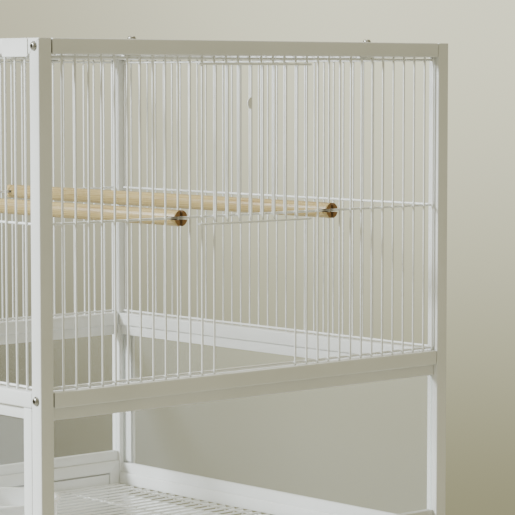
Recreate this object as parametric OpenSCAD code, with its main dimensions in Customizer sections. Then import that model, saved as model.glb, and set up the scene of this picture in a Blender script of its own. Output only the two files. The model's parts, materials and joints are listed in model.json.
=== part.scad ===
// Bird cage on a rolling stand: a square-tube frame with welded wire panels above,
// clear panels in white channels below, a wire floor, a slide-out tray, and a wire
// shelf between four legs on swivel casters.
// The origin is on the floor under the middle of the frame. +Z is up, the front
// faces -Y and the guillotine doors are on the left and right faces.

/* [Overall] */
// Height from the floor to the top of the frame
overall_h = 1500; // [1400:10:1600]
// Width across the front, over the posts
cage_w = 565; // [555:5:575]
// Depth from front to back, over the posts
cage_d = 545; // [535:5:555]

/* [Square tube] */
// Outside width of the square tube
tube = 15; // [14.5:0.1:15.5]
// Wall of the square tube
wall = 1; // [0.8:0.1:1.2]

/* [Levels, down from the top of the frame] */
// Top of the middle rails
mid_drop = 330; // [325:1:335]
// Top of the tray frames on the left and right
tray_frame_drop = 516; // [514:1:518]
// Top of the floor rails on the front and back
floor_rail_drop = 531; // [530:1:533]
// Top of the tray rails, which close the tray space below
tray_rail_drop = 595; // [590:1:600]
// Top of the wire floor
grate_drop = 544; // [543:1:545]
// Joint between the cage posts and the stand legs
leg_joint_drop = 640; // [635:1:650]

/* [Wire bars] */
// Diameter of an upright bar
bar_d = 2.2; // [2:0.1:2.4]
// Diameter of a cross bar
cross_d = 2.5; // [2.4:0.1:2.8]
// Pitch of the upright bars on the left and right faces
side_pitch = 15.6; // [15.5:0.1:15.7]
// Pitch of the bars on the front, back, roof and floor
front_pitch = 15.8; // [15.7:0.1:15.9]
// Depth of the upright bars behind the outer face of the frame
bar_depth = 6; // [5.9:0.1:6.3]
// First cross bar, down from the top of the frame
first_cross_drop = 17.9; // [17.8:0.1:18.6]
// Middle cross bar, which also carries the perches
mid_cross_drop = 173; // [170:1:176]

/* [Guillotine doors] */
// Height of a guillotine door between its two cross bars
door_h = 157; // [156:0.5:158]
// How far a guillotine door travels
door_travel = 143.5; // [138:0.5:143.5]

/* [Front door] */
// Top cross bar of the front doorway, down from the top of the frame
front_door_drop = 88; // [80:1:96]
// Upright bars that the front doorway cuts out, on each side of the middle one
front_door_bars = 7; // [5:1:8]

/* [Perches] */
// Diameter of a perch
perch_d = 16; // [14:0.5:18]
// Distance of each perch from the middle of the cage, in bar pitches
perch_pitches = 6.5; // [5.5:1:8.5]

/* [Clear panels] */
// Thickness of a clear panel
clear_t = 2; // [1.8:0.1:2.1]
// Height of a channel
channel_h = 12; // [11:0.5:12.5]
// Thickness of a channel, from its outer to its inner face
channel_t = 7; // [6.5:0.5:7.5]

/* [Bowls] */
// Diameter of a bowl over its rim
bowl_d = 120; // [100:5:130]
// Height of a bowl
bowl_h = 60; // [50:5:70]

/* [Stand] */
// Height of the top of the shelf rails above the floor
shelf_h = 195; // [180:5:260]
// Diameter of a caster wheel
wheel_d = 50; // [48:1:50]
// Width of a caster wheel
wheel_w = 20; // [18:0.5:20]
// Distance of the wheel's axle behind the swivel axis
trail = 18; // [16:0.5:18]
// Height of the underside of the legs above the floor
caster_h = 72; // [72:1:76]

/* [Hidden] */
$fn = 32;
wire_fn = 16;           // sides of a wire in a preview; the solids are true cylinders
eps = 0.01;
bore = tube - 2 * wall;
front = [0, cage_d / 2];        // turn and distance of each face
right = [90, cage_w / 2];
back = [180, cage_d / 2];
left = [270, cage_w / 2];
front_half = cage_w / 2;        // half of the width seen on the front and back
side_half = cage_d / 2;         // half of the width seen on the left and right
corners = [[1, -1], [-1, -1], [1, 1], [-1, 1]];
post_x = cage_w / 2 - tube / 2;
post_y = cage_d / 2 - tube / 2;
leg_joint = overall_h - leg_joint_drop;
joiner_len = 120;
play = 0.1;             // play of an insert in a bore or slot
fit_gap = 0.4;          // gap between parts that lie side by side
press = 0.02;           // play of a bolt or pin that doesn't turn
weld = 0.25;            // how far crossing wires sink into each other
cut_tail = 1.5;         // how far a cut bar runs past its cross bar
joint_bolt = 18;        // bolts above and below the joint of post and leg

// Wire panels
cross_depth = bar_depth + (bar_d + cross_d) / 2 - weld;   // cross bars lie inside the uprights
last_cross_drop = mid_drop - 3;
border_gap = 1.2;       // from a border bar to the frame
border_inset = tube + bar_d / 2 + border_gap;
side_bars = floor((side_half - border_inset) / side_pitch - 0.5);
front_bars = floor((front_half - border_inset) / front_pitch);
doorway_half = 3.5 * side_pitch;         // six bars are cut out of a side doorway
guide_half = 4.5 * side_pitch;           // the two bars that a guillotine door slides on

// Guillotine door
door_bar_depth = bar_depth - bar_d - 0.3;
door_rail_depth = door_bar_depth - bar_d + 0.3;
door_top_drop = 23.3;
eye_r = 3.6;
eye_wire = bar_d + 0.4;
eye_tail = 2.6;
tab_drop = 62;
tab_r = 6;
tab_t = 1.2;

// Front door
frame_wire = 3;
front_door_half = (front_door_bars + 1) * front_pitch + 4.6;
front_door_depth = bar_depth - bar_d / 2 - frame_wire / 2 - 0.3;
front_door_top = overall_h - front_door_drop + 4;
front_door_bottom = overall_h - last_cross_drop + 5;
hinge_z = [overall_h - 115, overall_h - 296];
hinge_len = 16;
sleeve_r = 2.9;
pin_play = 0.05;
latch_z = overall_h - 205;
latch_r = 2;
latch_depth = -1;
front_door_cross = [mid_cross_drop, 250];   // cross bars of the front door, down from the top
bolt_plate_w = 34;
bolt_rod_len = 38;
bolt_rod_back = 3;        // how far the rod stands out behind its plate
bolt_eyes = [2, 27];      // the two eyes that the rod slides in, along the plate
bolt_eye_len = 5;
bolt_plate_x = front_door_half - bolt_plate_w - 4;

// Bolts
bolt_r = 2.5;
bolt_len = 26;
bolt_head_r = 4.5;
bolt_head_h = 2.8;
bolt_head_top = 2.8;
socket_r = 1.6;
socket_deep = 1.6;
hole_r = 2.6;
rail_gap = 1.2;          // gap between a side rail and the post it is bolted to
nut_len = 13;
tray_bolt = overall_h - tray_frame_drop - 47;
shelf_bolt = shelf_h - tube / 2;
rail_bolts = [overall_h - tube / 2, overall_h - mid_drop - tube / 2];
post_bolts = [rail_bolts[0], rail_bolts[1], tray_bolt, leg_joint + joint_bolt];
leg_bolts = [leg_joint - joint_bolt, shelf_bolt];
roof_screw_y = 157;
lug_l = 10;               // short enough to sit between two bars of the side panel
lug_t = 1.5;
plate = [40, 0.8, 17.2];  // maker's plate: width, thickness, height
plate_in = 2;             // from the post to the edge of the plate
infill_t = 1.5;
infill_gap = 0.6;

// Clear panels and channels
channel_depth = 5;
channel_top = overall_h - mid_drop - tube;
slot = clear_t + 0.4;
slot_deep = 9;
clear_depth = channel_depth + (channel_t - clear_t) / 2;
stile_w = 12.4;
stile_t = 7;
stile_lip = 3.2;          // outer wall of a stile, in front of its groove
stile_mouth = 3;
stile_web = 1.2;
stile_gap = 1.2;          // gap between a stile and the channels above and below it
front_sill = overall_h - floor_rail_drop;
side_sill = overall_h - tray_frame_drop;
clear_top = channel_top - channel_h + slot_deep - 0.5;

// Tray
tray_wall = 1.2;
tray_face_t = 12;         // the face is a hollow box, open below
rivet_gap = 0.05;         // gap between the face and the pan
tray_slack = 1.2;
tray_half = side_half - 2 * tube - fit_gap - tray_slack;
tray_floor = overall_h - tray_rail_drop + 0.3;
tray_rim = overall_h - grate_drop - 9;
tray_face_top = overall_h - tray_frame_drop - tube - 1.7;
pull_r = 11;
pull_half = 20;           // half of the width between the round ends of the finger hole
pull_z = tray_floor + 32;

// Floor, shelf
grate_top = overall_h - grate_drop;
grate_half_w = cage_w / 2 - tube - 1.2;
grate_half_d = cage_d / 2 - tube - 1.5;
shelf_wire = 3;
shelf_pitch = 26;
bowl_y = -108;
bowl_wall = 2;
bowl_foot = 0.9;         // width at the foot against the width at the rim

// Casters
stem_r = 4;
race_r = 15;             // the fork's round top and the ball race under the leg
cap_r = 7;               // the rivet head below the fork
plate_z = 60;            // underside of the fork's top plate
plate_t = 3;
race_gap = 0.3;
window_x = 17;           // start of the window in the fork's top plate
ear_r = 9;
ear_t = 2;
ear_gap = wheel_w / 2 + 1.5;
axle_r = 4;
axle_end = 3;
pivot_x = 33;
pivot_z = 57;
pivot_r = 2.5;
pad_reach = 9.9;         // from the lever's pivot to the foot of its brake pad

function z_down(drop) = overall_h - drop;

// Children are drawn as seen from outside a face: X along it, Y into the cage.
module on_face(face) {
    rotate([0, 0, face[0]]) translate([0, -face[1], 0]) children();
}

module tube_x(length, inner = bore) {
    difference() {
        translate([-length / 2, 0, 0]) cube([length, tube, tube]);
        translate([-length / 2 - 1, (tube - inner) / 2, (tube - inner) / 2])
            cube([length + 2, inner, inner]);
    }
}

module tube_z(length) {
    difference() {
        translate([-tube / 2, -tube / 2, 0]) cube([tube, tube, length]);
        translate([-bore / 2, -bore / 2, -1]) cube([bore, bore, length + 2]);
    }
}

// Everything above a 45 degree line that rises from the inner corner to the outer one
module mitre_keep_rail(half, z_top, down = true) {
    flip = down ? 1 : -1;
    difference() {
        children();
        for (s = [-1, 1])
            translate([s * half, tube / 2, z_top])
                rotate([0, s * flip * 45, 0])
                    translate([s > 0 ? 0 : -3 * tube, -tube, -3 * tube])
                        cube([3 * tube, 2 * tube, 6 * tube]);
    }
}

module wire_z(x, depth, z0, z1, d = bar_d) {
    translate([x, depth, z0]) cylinder(d = d, h = z1 - z0, $fn = wire_fn);
}

module wire_x(x0, x1, depth, z, d = cross_d) {
    translate([x0, depth, z]) rotate([0, 90, 0]) cylinder(d = d, h = x1 - x0, $fn = wire_fn);
}

module wire_y(x, y0, y1, z, d = cross_d) {
    translate([x, y0, z]) rotate([-90, 0, 0]) cylinder(d = d, h = y1 - y0, $fn = wire_fn);
}

// ---------- Frame ----------

module post(sx, sy) {
    color("white")
        translate([sx * post_x, sy * post_y, 0])
            difference() {
                translate([0, 0, leg_joint]) tube_z(leg_joint_drop);
                translate([-sx * tube / 2, 0, z_down(tube)])
                    rotate([0, -sx * 45, 0])
                        translate([-2 * tube, -tube, 0]) cube([4 * tube, 2 * tube, 2 * tube]);
                for (z = post_bolts) bolt_hole(z);
            }
}

module leg(sx, sy) {
    color("white")
        translate([sx * post_x, sy * post_y, 0])
            difference() {
                translate([0, 0, caster_h]) tube_z(leg_joint - caster_h);
                for (z = leg_bolts) bolt_hole(z);
            }
}

module bolt_hole(z) {
    translate([0, -tube, z]) rotate([-90, 0, 0]) cylinder(r = hole_r, h = 2 * tube);
}

module leg_joiners() {
    size = bore - 2 * play;
    color("silver")
        for (c = corners)
            translate([c[0] * post_x, c[1] * post_y, leg_joint])
                difference() {
                    cube([size, size, joiner_len], center = true);
                    cube([size - 4, size - 4, joiner_len + 2], center = true);
                    for (z = [-joint_bolt, joint_bolt]) bolt_hole(z);
                }
}

module leg_plugs() {
    size = bore - 2 * play;
    color("dimgray")
        for (c = corners)
            translate([c[0] * post_x, c[1] * post_y, caster_h])
                difference() {
                    union() {
                        translate([-tube / 2, -tube / 2, -2]) cube([tube, tube, 2]);
                        translate([-size / 2, -size / 2, -eps]) cube([size, size, 25]);
                    }
                    translate([0, 0, -3]) cylinder(r = stem_r + press, h = 30);
                }
}

// The rails of a welded front or back frame: the top one is mitred into the posts.
module frame_rails(face) {
    inner = cage_w - 2 * tube;
    color("white") on_face(face) {
        difference() {
            mitre_keep_rail(front_half, z_down(0))
                translate([0, 0, z_down(tube)]) tube_x(cage_w);
            for (x = [-post_x, post_x]) translate([x, tube / 2, 0]) bolt_hole(rail_bolts[0]);
        }
        for (drop = [mid_drop, floor_rail_drop, tray_rail_drop])
            translate([0, 0, z_down(drop + tube)]) tube_x(inner);
    }
}

module side_rails(face) {
    length = cage_d - 2 * tube - 2 * rail_gap;
    color("white") on_face(face)
        for (drop = [0, mid_drop])
            difference() {
                translate([0, 0, z_down(drop + tube)]) tube_x(length);
                if (drop == 0)
                    for (x = [-roof_screw_y, roof_screw_y])
                        translate([x, tube / 2, z_down(tube + 1)]) cylinder(r = hole_r, h = tube + 2);
            }
}

module tray_frame(face) {
    half = side_half - tube - fit_gap;
    height = tray_rail_drop + tube - tray_frame_drop;
    color("white") on_face(face) {
        mitre_keep_rail(half, z_down(tray_frame_drop))
            translate([0, 0, z_down(tray_frame_drop + tube)]) tube_x(2 * half);
        mitre_keep_rail(half, z_down(tray_rail_drop + tube), false)
            translate([0, 0, z_down(tray_rail_drop + tube)]) tube_x(2 * half);
        for (s = [-1, 1])
            difference() {
                translate([s * (half - tube / 2), tube / 2, z_down(tray_rail_drop + tube)])
                    tube_z(height);
                for (end = [z_down(tray_frame_drop + tube), z_down(tray_rail_drop)])
                    translate([s * (half - tube), 0, end])
                        rotate([0, end > tray_bolt ? -s * 45 : s * 45, 0])
                            translate([-3 * tube, -1, end > tray_bolt ? 0 : -2 * tube])
                                cube([6 * tube, tube + 2, 2 * tube]);
                translate([s * (half - tube / 2), tube / 2, tray_bolt])
                    rotate([0, 90, 0]) cylinder(r = hole_r, h = 2 * tube, center = true);
            }
    }
}

module right_infill_panel() {
    half = side_half - 2 * tube - fit_gap - infill_gap;
    color("white") on_face(right)
        translate([-half, tube - 2 * infill_t, z_down(tray_rail_drop) + infill_gap])
            cube([2 * half, infill_t, tray_rail_drop - tray_frame_drop - tube - 2.2]);
}

module rail_end_nuts() {
    size = bore - 2 * play;
    rail_end = side_half - tube - rail_gap;
    frame_in = side_half - 1.5 * tube - fit_gap;
    color("silver")
        for (face = [right, left], s = [-1, 1]) on_face(face) {
            for (z = [rail_bolts[0], rail_bolts[1], shelf_bolt])
                nut_block(s * (rail_end - nut_len / 2), z, [nut_len, size, size]);
            nut_block(s * frame_in, tray_bolt, [size, size, 16]);
        }
}

module nut_block(x, z, size) {
    translate([x, tube / 2, z])
        difference() {
            cube(size, center = true);
            rotate([0, 90, 0]) cylinder(r = bolt_r + press, h = 30, center = true);
        }
}

module button_bolt(length, r = bolt_r) {
    difference() {
        union() {
            translate([0, 0, -length]) cylinder(r = r, h = length + eps);
            cylinder(r1 = bolt_head_r, r2 = bolt_head_top, h = bolt_head_h);
        }
        translate([0, 0, bolt_head_h - socket_deep]) cylinder(r = socket_r, h = 2, $fn = 6);
    }
}

module frame_bolts() {
    color("silver") {
        for (c = corners, z = concat(post_bolts, leg_bolts))
            translate([c[0] * post_x, c[1] * cage_d / 2, z])
                rotate([-c[1] * 90, 0, 0]) button_bolt(bolt_len);
        for (sx = [-1, 1], y = [-roof_screw_y, roof_screw_y])
            translate([sx * post_x, y, overall_h]) button_bolt(tube + lug_t - eps);
    }
}

module name_plate() {
    color("white") on_face(front)
        translate([front_half - tube - plate_in - plate[0], -plate[1], z_down(plate[2] + play)])
            cube([plate[0], plate[1] - eps, plate[2]]);
}

// ---------- Wire panels ----------

// Upright bars of a side panel; six stop at the middle cross bar over the doorway.
module side_panel(face) {
    top = z_down(tube);
    foot = z_down(mid_drop);
    reach = side_half - border_inset;
    color("white") on_face(face) {
        for (i = [-side_bars : side_bars + 1]) {
            x = (i - 0.5) * side_pitch;
            cut = abs(x) < doorway_half - 1;
            wire_z(x, bar_depth, cut ? z_down(mid_cross_drop) - cut_tail : foot, top);
        }
        for (s = [-1, 1]) wire_z(s * reach, bar_depth, foot, top);
        for (drop = [first_cross_drop, mid_cross_drop, last_cross_drop])
            wire_x(-reach - 1, reach + 1, cross_depth, z_down(drop));
    }
}

module plain_panel_bars(cut_bars, cut_to) {
    top = z_down(tube);
    foot = z_down(mid_drop);
    reach = front_half - border_inset;
    for (m = [-front_bars : front_bars])
        wire_z(m * front_pitch, bar_depth, abs(m) <= cut_bars ? cut_to : foot, top);
    for (s = [-1, 1]) wire_z(s * reach, bar_depth, foot, top);
    for (drop = [first_cross_drop, last_cross_drop])
        wire_x(-reach - 1, reach + 1, cross_depth, z_down(drop));
}

module front_wire_panel() {
    reach = front_half - border_inset;
    door_edge = (front_door_bars + 1) * front_pitch + cut_tail;
    hinge_bar = -(front_door_bars + 1) * front_pitch;
    keeper = (front_door_bars + 2) * front_pitch;
    color("white") on_face(front) {
        plain_panel_bars(front_door_bars, z_down(front_door_drop + cut_tail));
        wire_x(-door_edge, door_edge, cross_depth, z_down(front_door_drop));
        for (s = [-1, 1])
            wire_x(s > 0 ? door_edge - 3 : -reach - 1, s > 0 ? reach + 1 : -door_edge + 3,
                cross_depth, z_down(mid_cross_drop));
        for (z = hinge_z)
            difference() {
                union() {
                    translate([-front_door_half, front_door_depth, z])
                        cylinder(r = sleeve_r, h = hinge_len, center = true);
                    translate([hinge_bar - front_pitch - 1, bar_depth - 1.2, z - hinge_len / 2])
                        cube([front_pitch + 2, 1.2, hinge_len]);
                }
                translate([-front_door_half, front_door_depth, z])
                    cylinder(d = frame_wire + 2 * pin_play, h = hinge_len + 2, center = true);
            }
        difference() {
            translate([keeper - 8, latch_depth - latch_r - 1, latch_z - 4])
                cube([9, bar_depth - latch_depth + latch_r + 1, 8]);
            translate([keeper - 9, latch_depth, latch_z])
                rotate([0, 90, 0]) cylinder(r = latch_r + 0.3, h = 12);
        }
    }
}

module back_wire_panel() {
    reach = front_half - border_inset;
    color("white") on_face(back) {
        plain_panel_bars(-1, 0);
        wire_x(-reach - 1, reach + 1, cross_depth, z_down(mid_cross_drop));
    }
}

// Roof bars run from front to back, and four lugs take the screws through the side rails.
module roof_wire_panel() {
    reach = cage_w / 2 - border_inset;
    end = cage_d / 2 - tube;
    z = z_down(bar_depth);
    cross_z = z - (bar_d + cross_d) / 2 + weld;
    color("white") {
        for (m = [-front_bars : front_bars]) wire_y(m * front_pitch, -end, end, z, bar_d);
        for (s = [-1, 1]) wire_y(s * reach, -end, end, z, bar_d);
        for (y = [-end + 5, -roof_screw_y, roof_screw_y, end - 5])
            wire_x(-reach - 1, reach + 1, y, cross_z);
        for (s = [-1, 1], y = [-roof_screw_y, roof_screw_y]) roof_lug(s, y, cross_z);
    }
}

module roof_lug(s, y, cross_z) {
    inner = cage_w / 2 - tube - 4;
    difference() {
        union() {
            translate([s > 0 ? inner : -cage_w / 2 + 2, y - lug_l / 2, z_down(tube + lug_t)])
                cube([tube + 2, lug_l, lug_t - eps]);
            translate([s * (inner + 1) - 1, y - lug_l / 2, z_down(tube + lug_t)])
                cube([2, lug_l, cross_z - z_down(tube + lug_t)]);
        }
        translate([s * post_x, y, z_down(tube + 3)]) cylinder(r = bolt_r + press, h = 5);
    }
}

// ---------- Doors ----------

// drop is where the door's top bar hangs, down from the top of the frame.
module guillotine_door(face, drop) {
    color("white") on_face(face) {
        for (i = [-3 : 4])
            wire_z((i - 0.5) * side_pitch, door_bar_depth, z_down(drop + door_h), z_down(drop));
        for (z = [z_down(drop), z_down(drop + door_h)]) {
            wire_x(-guide_half - 0.5, guide_half + 0.5, door_rail_depth, z, bar_d);
            for (s = [-1, 1]) door_eye(s, z);
        }
        translate([-0.5 * side_pitch, door_bar_depth, z_down(drop + tab_drop - door_top_drop)])
            rotate([90, 0, 0])
                difference() {
                    cylinder(r = tab_r, h = tab_t, center = true);
                    translate([0, -tab_r - 1, -tab_t]) cube([tab_r + 2, 2 * tab_r + 2, 2 * tab_t]);
                }
    }
}

// The end of a door bar, bent back round the guide bar of the panel
module door_eye(s, z) {
    lap = 0.5;
    tail = s * (guide_half - eye_tail);
    bend_end = s * (guide_half + lap);
    translate([s * guide_half, door_rail_depth + eye_r, z])
        difference() {
            rotate_extrude($fn = 40) translate([eye_r, 0]) circle(d = eye_wire, $fn = 16);
            translate([s > 0 ? -3 * eye_r : 0, -2 * eye_r, -bar_d])
                cube([3 * eye_r, 4 * eye_r, 2 * bar_d]);
        }
    wire_x(min(tail, bend_end), max(tail, bend_end), door_rail_depth + 2 * eye_r, z, bar_d);
}

module front_door() {
    color("white") on_face(front) {
        for (s = [-1, 1])
            wire_z(s * front_door_half, front_door_depth, front_door_bottom - frame_wire / 2,
                front_door_top + frame_wire / 2, frame_wire);
        for (z = [front_door_bottom, front_door_top])
            wire_x(-front_door_half, front_door_half, front_door_depth, z, frame_wire);
        for (m = [-front_door_bars : front_door_bars])
            wire_z(m * front_pitch, front_door_depth, front_door_bottom, front_door_top);
        for (drop = front_door_cross)
            wire_x(-front_door_half, front_door_half, front_door_depth - bar_d + 0.3, z_down(drop), bar_d);
        door_bolt_plate();
    }
}

module door_bolt_plate() {
    difference() {
        union() {
            translate([bolt_plate_x, front_door_depth - 1.6, latch_z - 7]) cube([bolt_plate_w, 1, 14]);
            for (x = bolt_eyes) translate([bolt_plate_x + x, latch_depth, latch_z]) {
                rotate([0, 90, 0]) cylinder(r = latch_r + 1.2, h = bolt_eye_len);
                translate([0, 0, -3]) cube([bolt_eye_len, 2.6, 6]);
            }
        }
        translate([bolt_plate_x - 2, latch_depth, latch_z]) rotate([0, 90, 0])
            cylinder(r = latch_r + pin_play, h = bolt_rod_len + 2);
    }
}

module front_door_bolt() {
    color("silver") on_face(front) {
        translate([bolt_plate_x - bolt_rod_back, latch_depth, latch_z]) rotate([0, 90, 0])
            cylinder(r = latch_r, h = bolt_rod_len);
        translate([bolt_plate_x + bolt_eyes[0] + bolt_eye_len + 0.5, latch_depth - 0.75, latch_z])
            cube([6, 1.5, 10]);
    }
}

// ---------- Clear lower panels ----------

// A channel along X whose slot opens down (up = false) or up
module channel_x(half, z, up) {
    difference() {
        translate([-half, channel_depth, z]) cube([2 * half, channel_t, channel_h]);
        translate([-half - 1, channel_depth + (channel_t - slot) / 2,
                up ? z + channel_h - slot_deep : z - 1])
            cube([2 * half + 2, slot, slot_deep + 1]);
    }
}

// The front and back have a stile beside one post, which locks the clear panel in.
module frame_channels(face) {
    half = front_half - tube - 0.3;
    color("white") on_face(face) {
        channel_x(half, channel_top - channel_h, false);
        channel_x(half, front_sill, true);
        difference() {
            union() {
                translate([half - stile_w, 0, front_sill + fit_gap])
                    cube([stile_w, channel_depth - play, channel_top - front_sill - 2 * fit_gap]);
                translate([half - stile_w, 0, front_sill + channel_h + stile_gap])
                    cube([stile_w, stile_t, channel_top - front_sill - 2 * (channel_h + stile_gap)]);
            }
            translate([half - stile_w - 1, stile_lip, front_sill])
                cube([stile_w + 1 - stile_web, stile_mouth, channel_top - front_sill]);
        }
    }
}

module side_channels(face) {
    half = side_half - tube - 0.3;
    color("white") on_face(face) {
        channel_x(half, channel_top - channel_h, false);
        channel_x(half, side_sill, true);
    }
}

module clear_panel(face, half, sill) {
    foot = sill + channel_h - slot_deep + play;
    color([0.85, 0.92, 0.95, 0.3]) on_face(face)
        translate([-half, clear_depth, foot]) cube([2 * half, clear_t, clear_top - foot]);
}

// ---------- Fittings inside ----------

module perch(s) {
    len = cage_w - 2;
    y = s * perch_pitches * side_pitch;
    color("burlywood") translate([0, y, z_down(mid_cross_drop)])
        difference() {
            rotate([0, 90, 0]) cylinder(d = perch_d, h = len, center = true);
            for (e = [-1, 1], flat = [0, 90])
                translate([e * len / 2, 0, 0]) rotate([flat, 0, 0])
                    cube([28, perch_d + 2, 3.4], center = true);
        }
}

module bowl(x) {
    r = bowl_d / 2;
    foot = bowl_foot * r;
    color("white") translate([x, bowl_y, grate_top])
        rotate_extrude($fn = 64)
            polygon([[0, 0], [foot, 0], [r - 3, bowl_h - 4], [r, bowl_h - 4], [r, bowl_h],
                [r - 3 - bowl_wall, bowl_h], [foot - bowl_wall, bowl_wall], [0, bowl_wall]]);
}

module floor_grate() {
    bar_z = grate_top - bar_d / 2;
    cross_z = bar_z - (bar_d + cross_d) / 2 + weld;
    color("white") {
        for (m = [-front_bars : front_bars])
            wire_y(m * front_pitch, -grate_half_d, grate_half_d, bar_z, bar_d);
        for (s = [-1, 1]) wire_y(s * (grate_half_w - 2), -grate_half_d, grate_half_d, bar_z, bar_d);
        for (y = [-grate_half_d + 3, -170, -57, 57, 170, grate_half_d - 3])
            wire_x(-grate_half_w, grate_half_w, y, cross_z);
    }
}

// The tray is a pan, open on top and at its left end, with a tall hollow face riveted
// to that end, which closes the tray frame.
module tray() {
    left_x = -cage_w / 2 + tube - 1;
    right_x = cage_w / 2 - tube - 1;
    face_x = left_x - tray_face_t;
    color("white") {
        difference() {
            translate([left_x, -tray_half, tray_floor])
                cube([right_x - left_x, 2 * tray_half, tray_rim - tray_floor]);
            translate([left_x - 1, -tray_half + tray_wall, tray_floor + tray_wall])
                cube([right_x - left_x + 1 - tray_wall, 2 * (tray_half - tray_wall), 100]);
        }
        difference() {
            translate([face_x, -tray_half, tray_floor])
                cube([tray_face_t - rivet_gap, 2 * tray_half, tray_face_top - tray_floor]);
            translate([face_x + tray_wall, -tray_half + tray_wall, tray_floor - 1])
                cube([tray_face_t - rivet_gap - 2 * tray_wall, 2 * (tray_half - tray_wall),
                    tray_face_top - tray_floor + 1 - tray_wall]);
            for (y = [-pull_half, pull_half])
                translate([face_x - 1, y, pull_z]) rotate([0, 90, 0])
                    cylinder(r = pull_r, h = 2 + tray_wall);
            translate([face_x - 1, -pull_half, pull_z - pull_r])
                cube([2 + tray_wall, 2 * pull_half, 2 * pull_r]);
        }
    }
}

// ---------- Stand ----------

module shelf_rails() {
    color("white") translate([0, 0, shelf_h - tube]) {
        for (face = [front, back]) on_face(face) tube_x(cage_w - 2 * tube);
        for (face = [right, left]) on_face(face) tube_x(cage_d - 2 * tube - 2 * rail_gap);
    }
}

module storage_shelf() {
    half_w = cage_w / 2 - 5;
    half_d = cage_d / 2 - tube - 2;
    z = shelf_h + shelf_wire / 2;
    count = floor((half_d - 8) / shelf_pitch);
    color("white") {
        for (k = [-count : count]) wire_x(-half_w, half_w, k * shelf_pitch, z, shelf_wire);
        for (s = [-1, 1]) wire_x(-half_w, half_w, s * (half_d - 2), z, shelf_wire);
        for (x = [-half_w + tube + 6, -90, 90, half_w - tube - 6])
            wire_y(x, -half_d, half_d, z - shelf_wire + 0.3, shelf_wire);
    }
}

// ---------- Casters ----------

// Children are drawn with the swivel axis at the origin and the trail along +X.
module at_caster(c) {
    translate([c[0] * post_x, c[1] * post_y, 0]) rotate([0, 0, c[0] > 0 ? 180 : 0]) children();
}

module caster_stems() {
    color("silver") for (c = corners) at_caster(c) {
        translate([0, 0, plate_z - race_gap]) cylinder(r = stem_r, h = caster_h + 22 - plate_z);
        translate([0, 0, plate_z - race_gap - 3]) cylinder(r = cap_r, h = 3);
        difference() {
            translate([0, 0, plate_z + plate_t + race_gap])
                cylinder(r = race_r, h = caster_h - 2 - plate_z - plate_t - race_gap - eps);
            translate([0, 0, plate_z + plate_t]) difference() {
                cylinder(r = race_r - 1.5, h = 2.5);
                translate([0, 0, -1]) cylinder(r = 9, h = 5);
            }
        }
    }
}

module caster_fork(c) {
    color("silver") at_caster(c)
        difference() {
            union() {
                translate([0, 0, plate_z]) cylinder(r = race_r, h = plate_t);
                translate([0, -ear_gap - ear_t, plate_z]) cube([pivot_x + 5, 2 * (ear_gap + ear_t), plate_t]);
                for (s = [-1, 1])
                    translate([0, s * (ear_gap + ear_t / 2), 0]) rotate([90, 0, 0])
                        translate([0, 0, -ear_t / 2]) ear();
            }
            translate([0, 0, plate_z - 1]) cylinder(r = stem_r + pin_play, h = plate_t + 2);
            translate([window_x, -ear_gap + 1, plate_z - 1])
                cube([pivot_x, 2 * ear_gap - 2, plate_t + 2]);
            translate([trail, 0, wheel_d / 2]) rotate([90, 0, 0])
                cylinder(r = axle_r + press, h = 60, center = true);
            translate([pivot_x, 0, pivot_z]) rotate([90, 0, 0])
                cylinder(r = pivot_r + pin_play, h = 60, center = true);
        }
}

module ear() {
    linear_extrude(ear_t) difference() {
        union() {
            polygon([[-ear_r, plate_z + plate_t], [pivot_x + 5, plate_z + plate_t],
                [pivot_x + 5, pivot_z - 6], [trail + ear_r, wheel_d / 2], [trail - ear_r, wheel_d / 2]]);
            translate([trail, wheel_d / 2]) circle(r = ear_r);
        }
        translate([pivot_x, pivot_z]) circle(r = pivot_r + pin_play);
        translate([trail, wheel_d / 2]) circle(r = axle_r + press);
    }
}

module caster_wheel(c) {
    r = wheel_d / 2;
    w = wheel_w / 2;
    color("dimgray") at_caster(c) translate([trail, 0, r]) rotate([90, 0, 0])
        rotate_extrude($fn = 64)
            polygon([[axle_r + pin_play, -w], [8, -w], [8, -w + 3], [r - 7, -w + 3], [r - 6, -w + 1],
                [r - 2, -w + 1], [r, -w + 3.5], [r, w - 3.5], [r - 2, w - 1], [r - 6, w - 1],
                [r - 7, w - 3], [8, w - 3], [8, w], [axle_r + pin_play, w]]);
}

module caster_axle(c) {
    half = ear_gap + ear_t;
    color("silver") at_caster(c) translate([trail, 0, wheel_d / 2]) rotate([90, 0, 0]) {
        cylinder(r = axle_r, h = 2 * half, center = true);
        for (s = [-1, 1])
            translate([0, 0, s > 0 ? half : -half - axle_end]) cylinder(r = 6.5, h = axle_end);
    }
}

// A foot lever whose pad comes down on the tread
module caster_brake(c) {
    width = 2 * (ear_gap - 1.5);
    color("dimgray") at_caster(c) translate([pivot_x, 0, pivot_z]) {
        rotate([90, 0, 0]) cylinder(r = pivot_r, h = 2 * (ear_gap + ear_t), center = true);
        rotate([90, 0, 0]) cylinder(r = 4, h = width + 0.5, center = true);
        rotate([0, -10, 0]) translate([2, -width / 2, 0]) cube([28, width, 3.5]);
        translate([-2, -7, -pad_reach]) cube([4, 14, pad_reach + 1]);
    }
}

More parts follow.
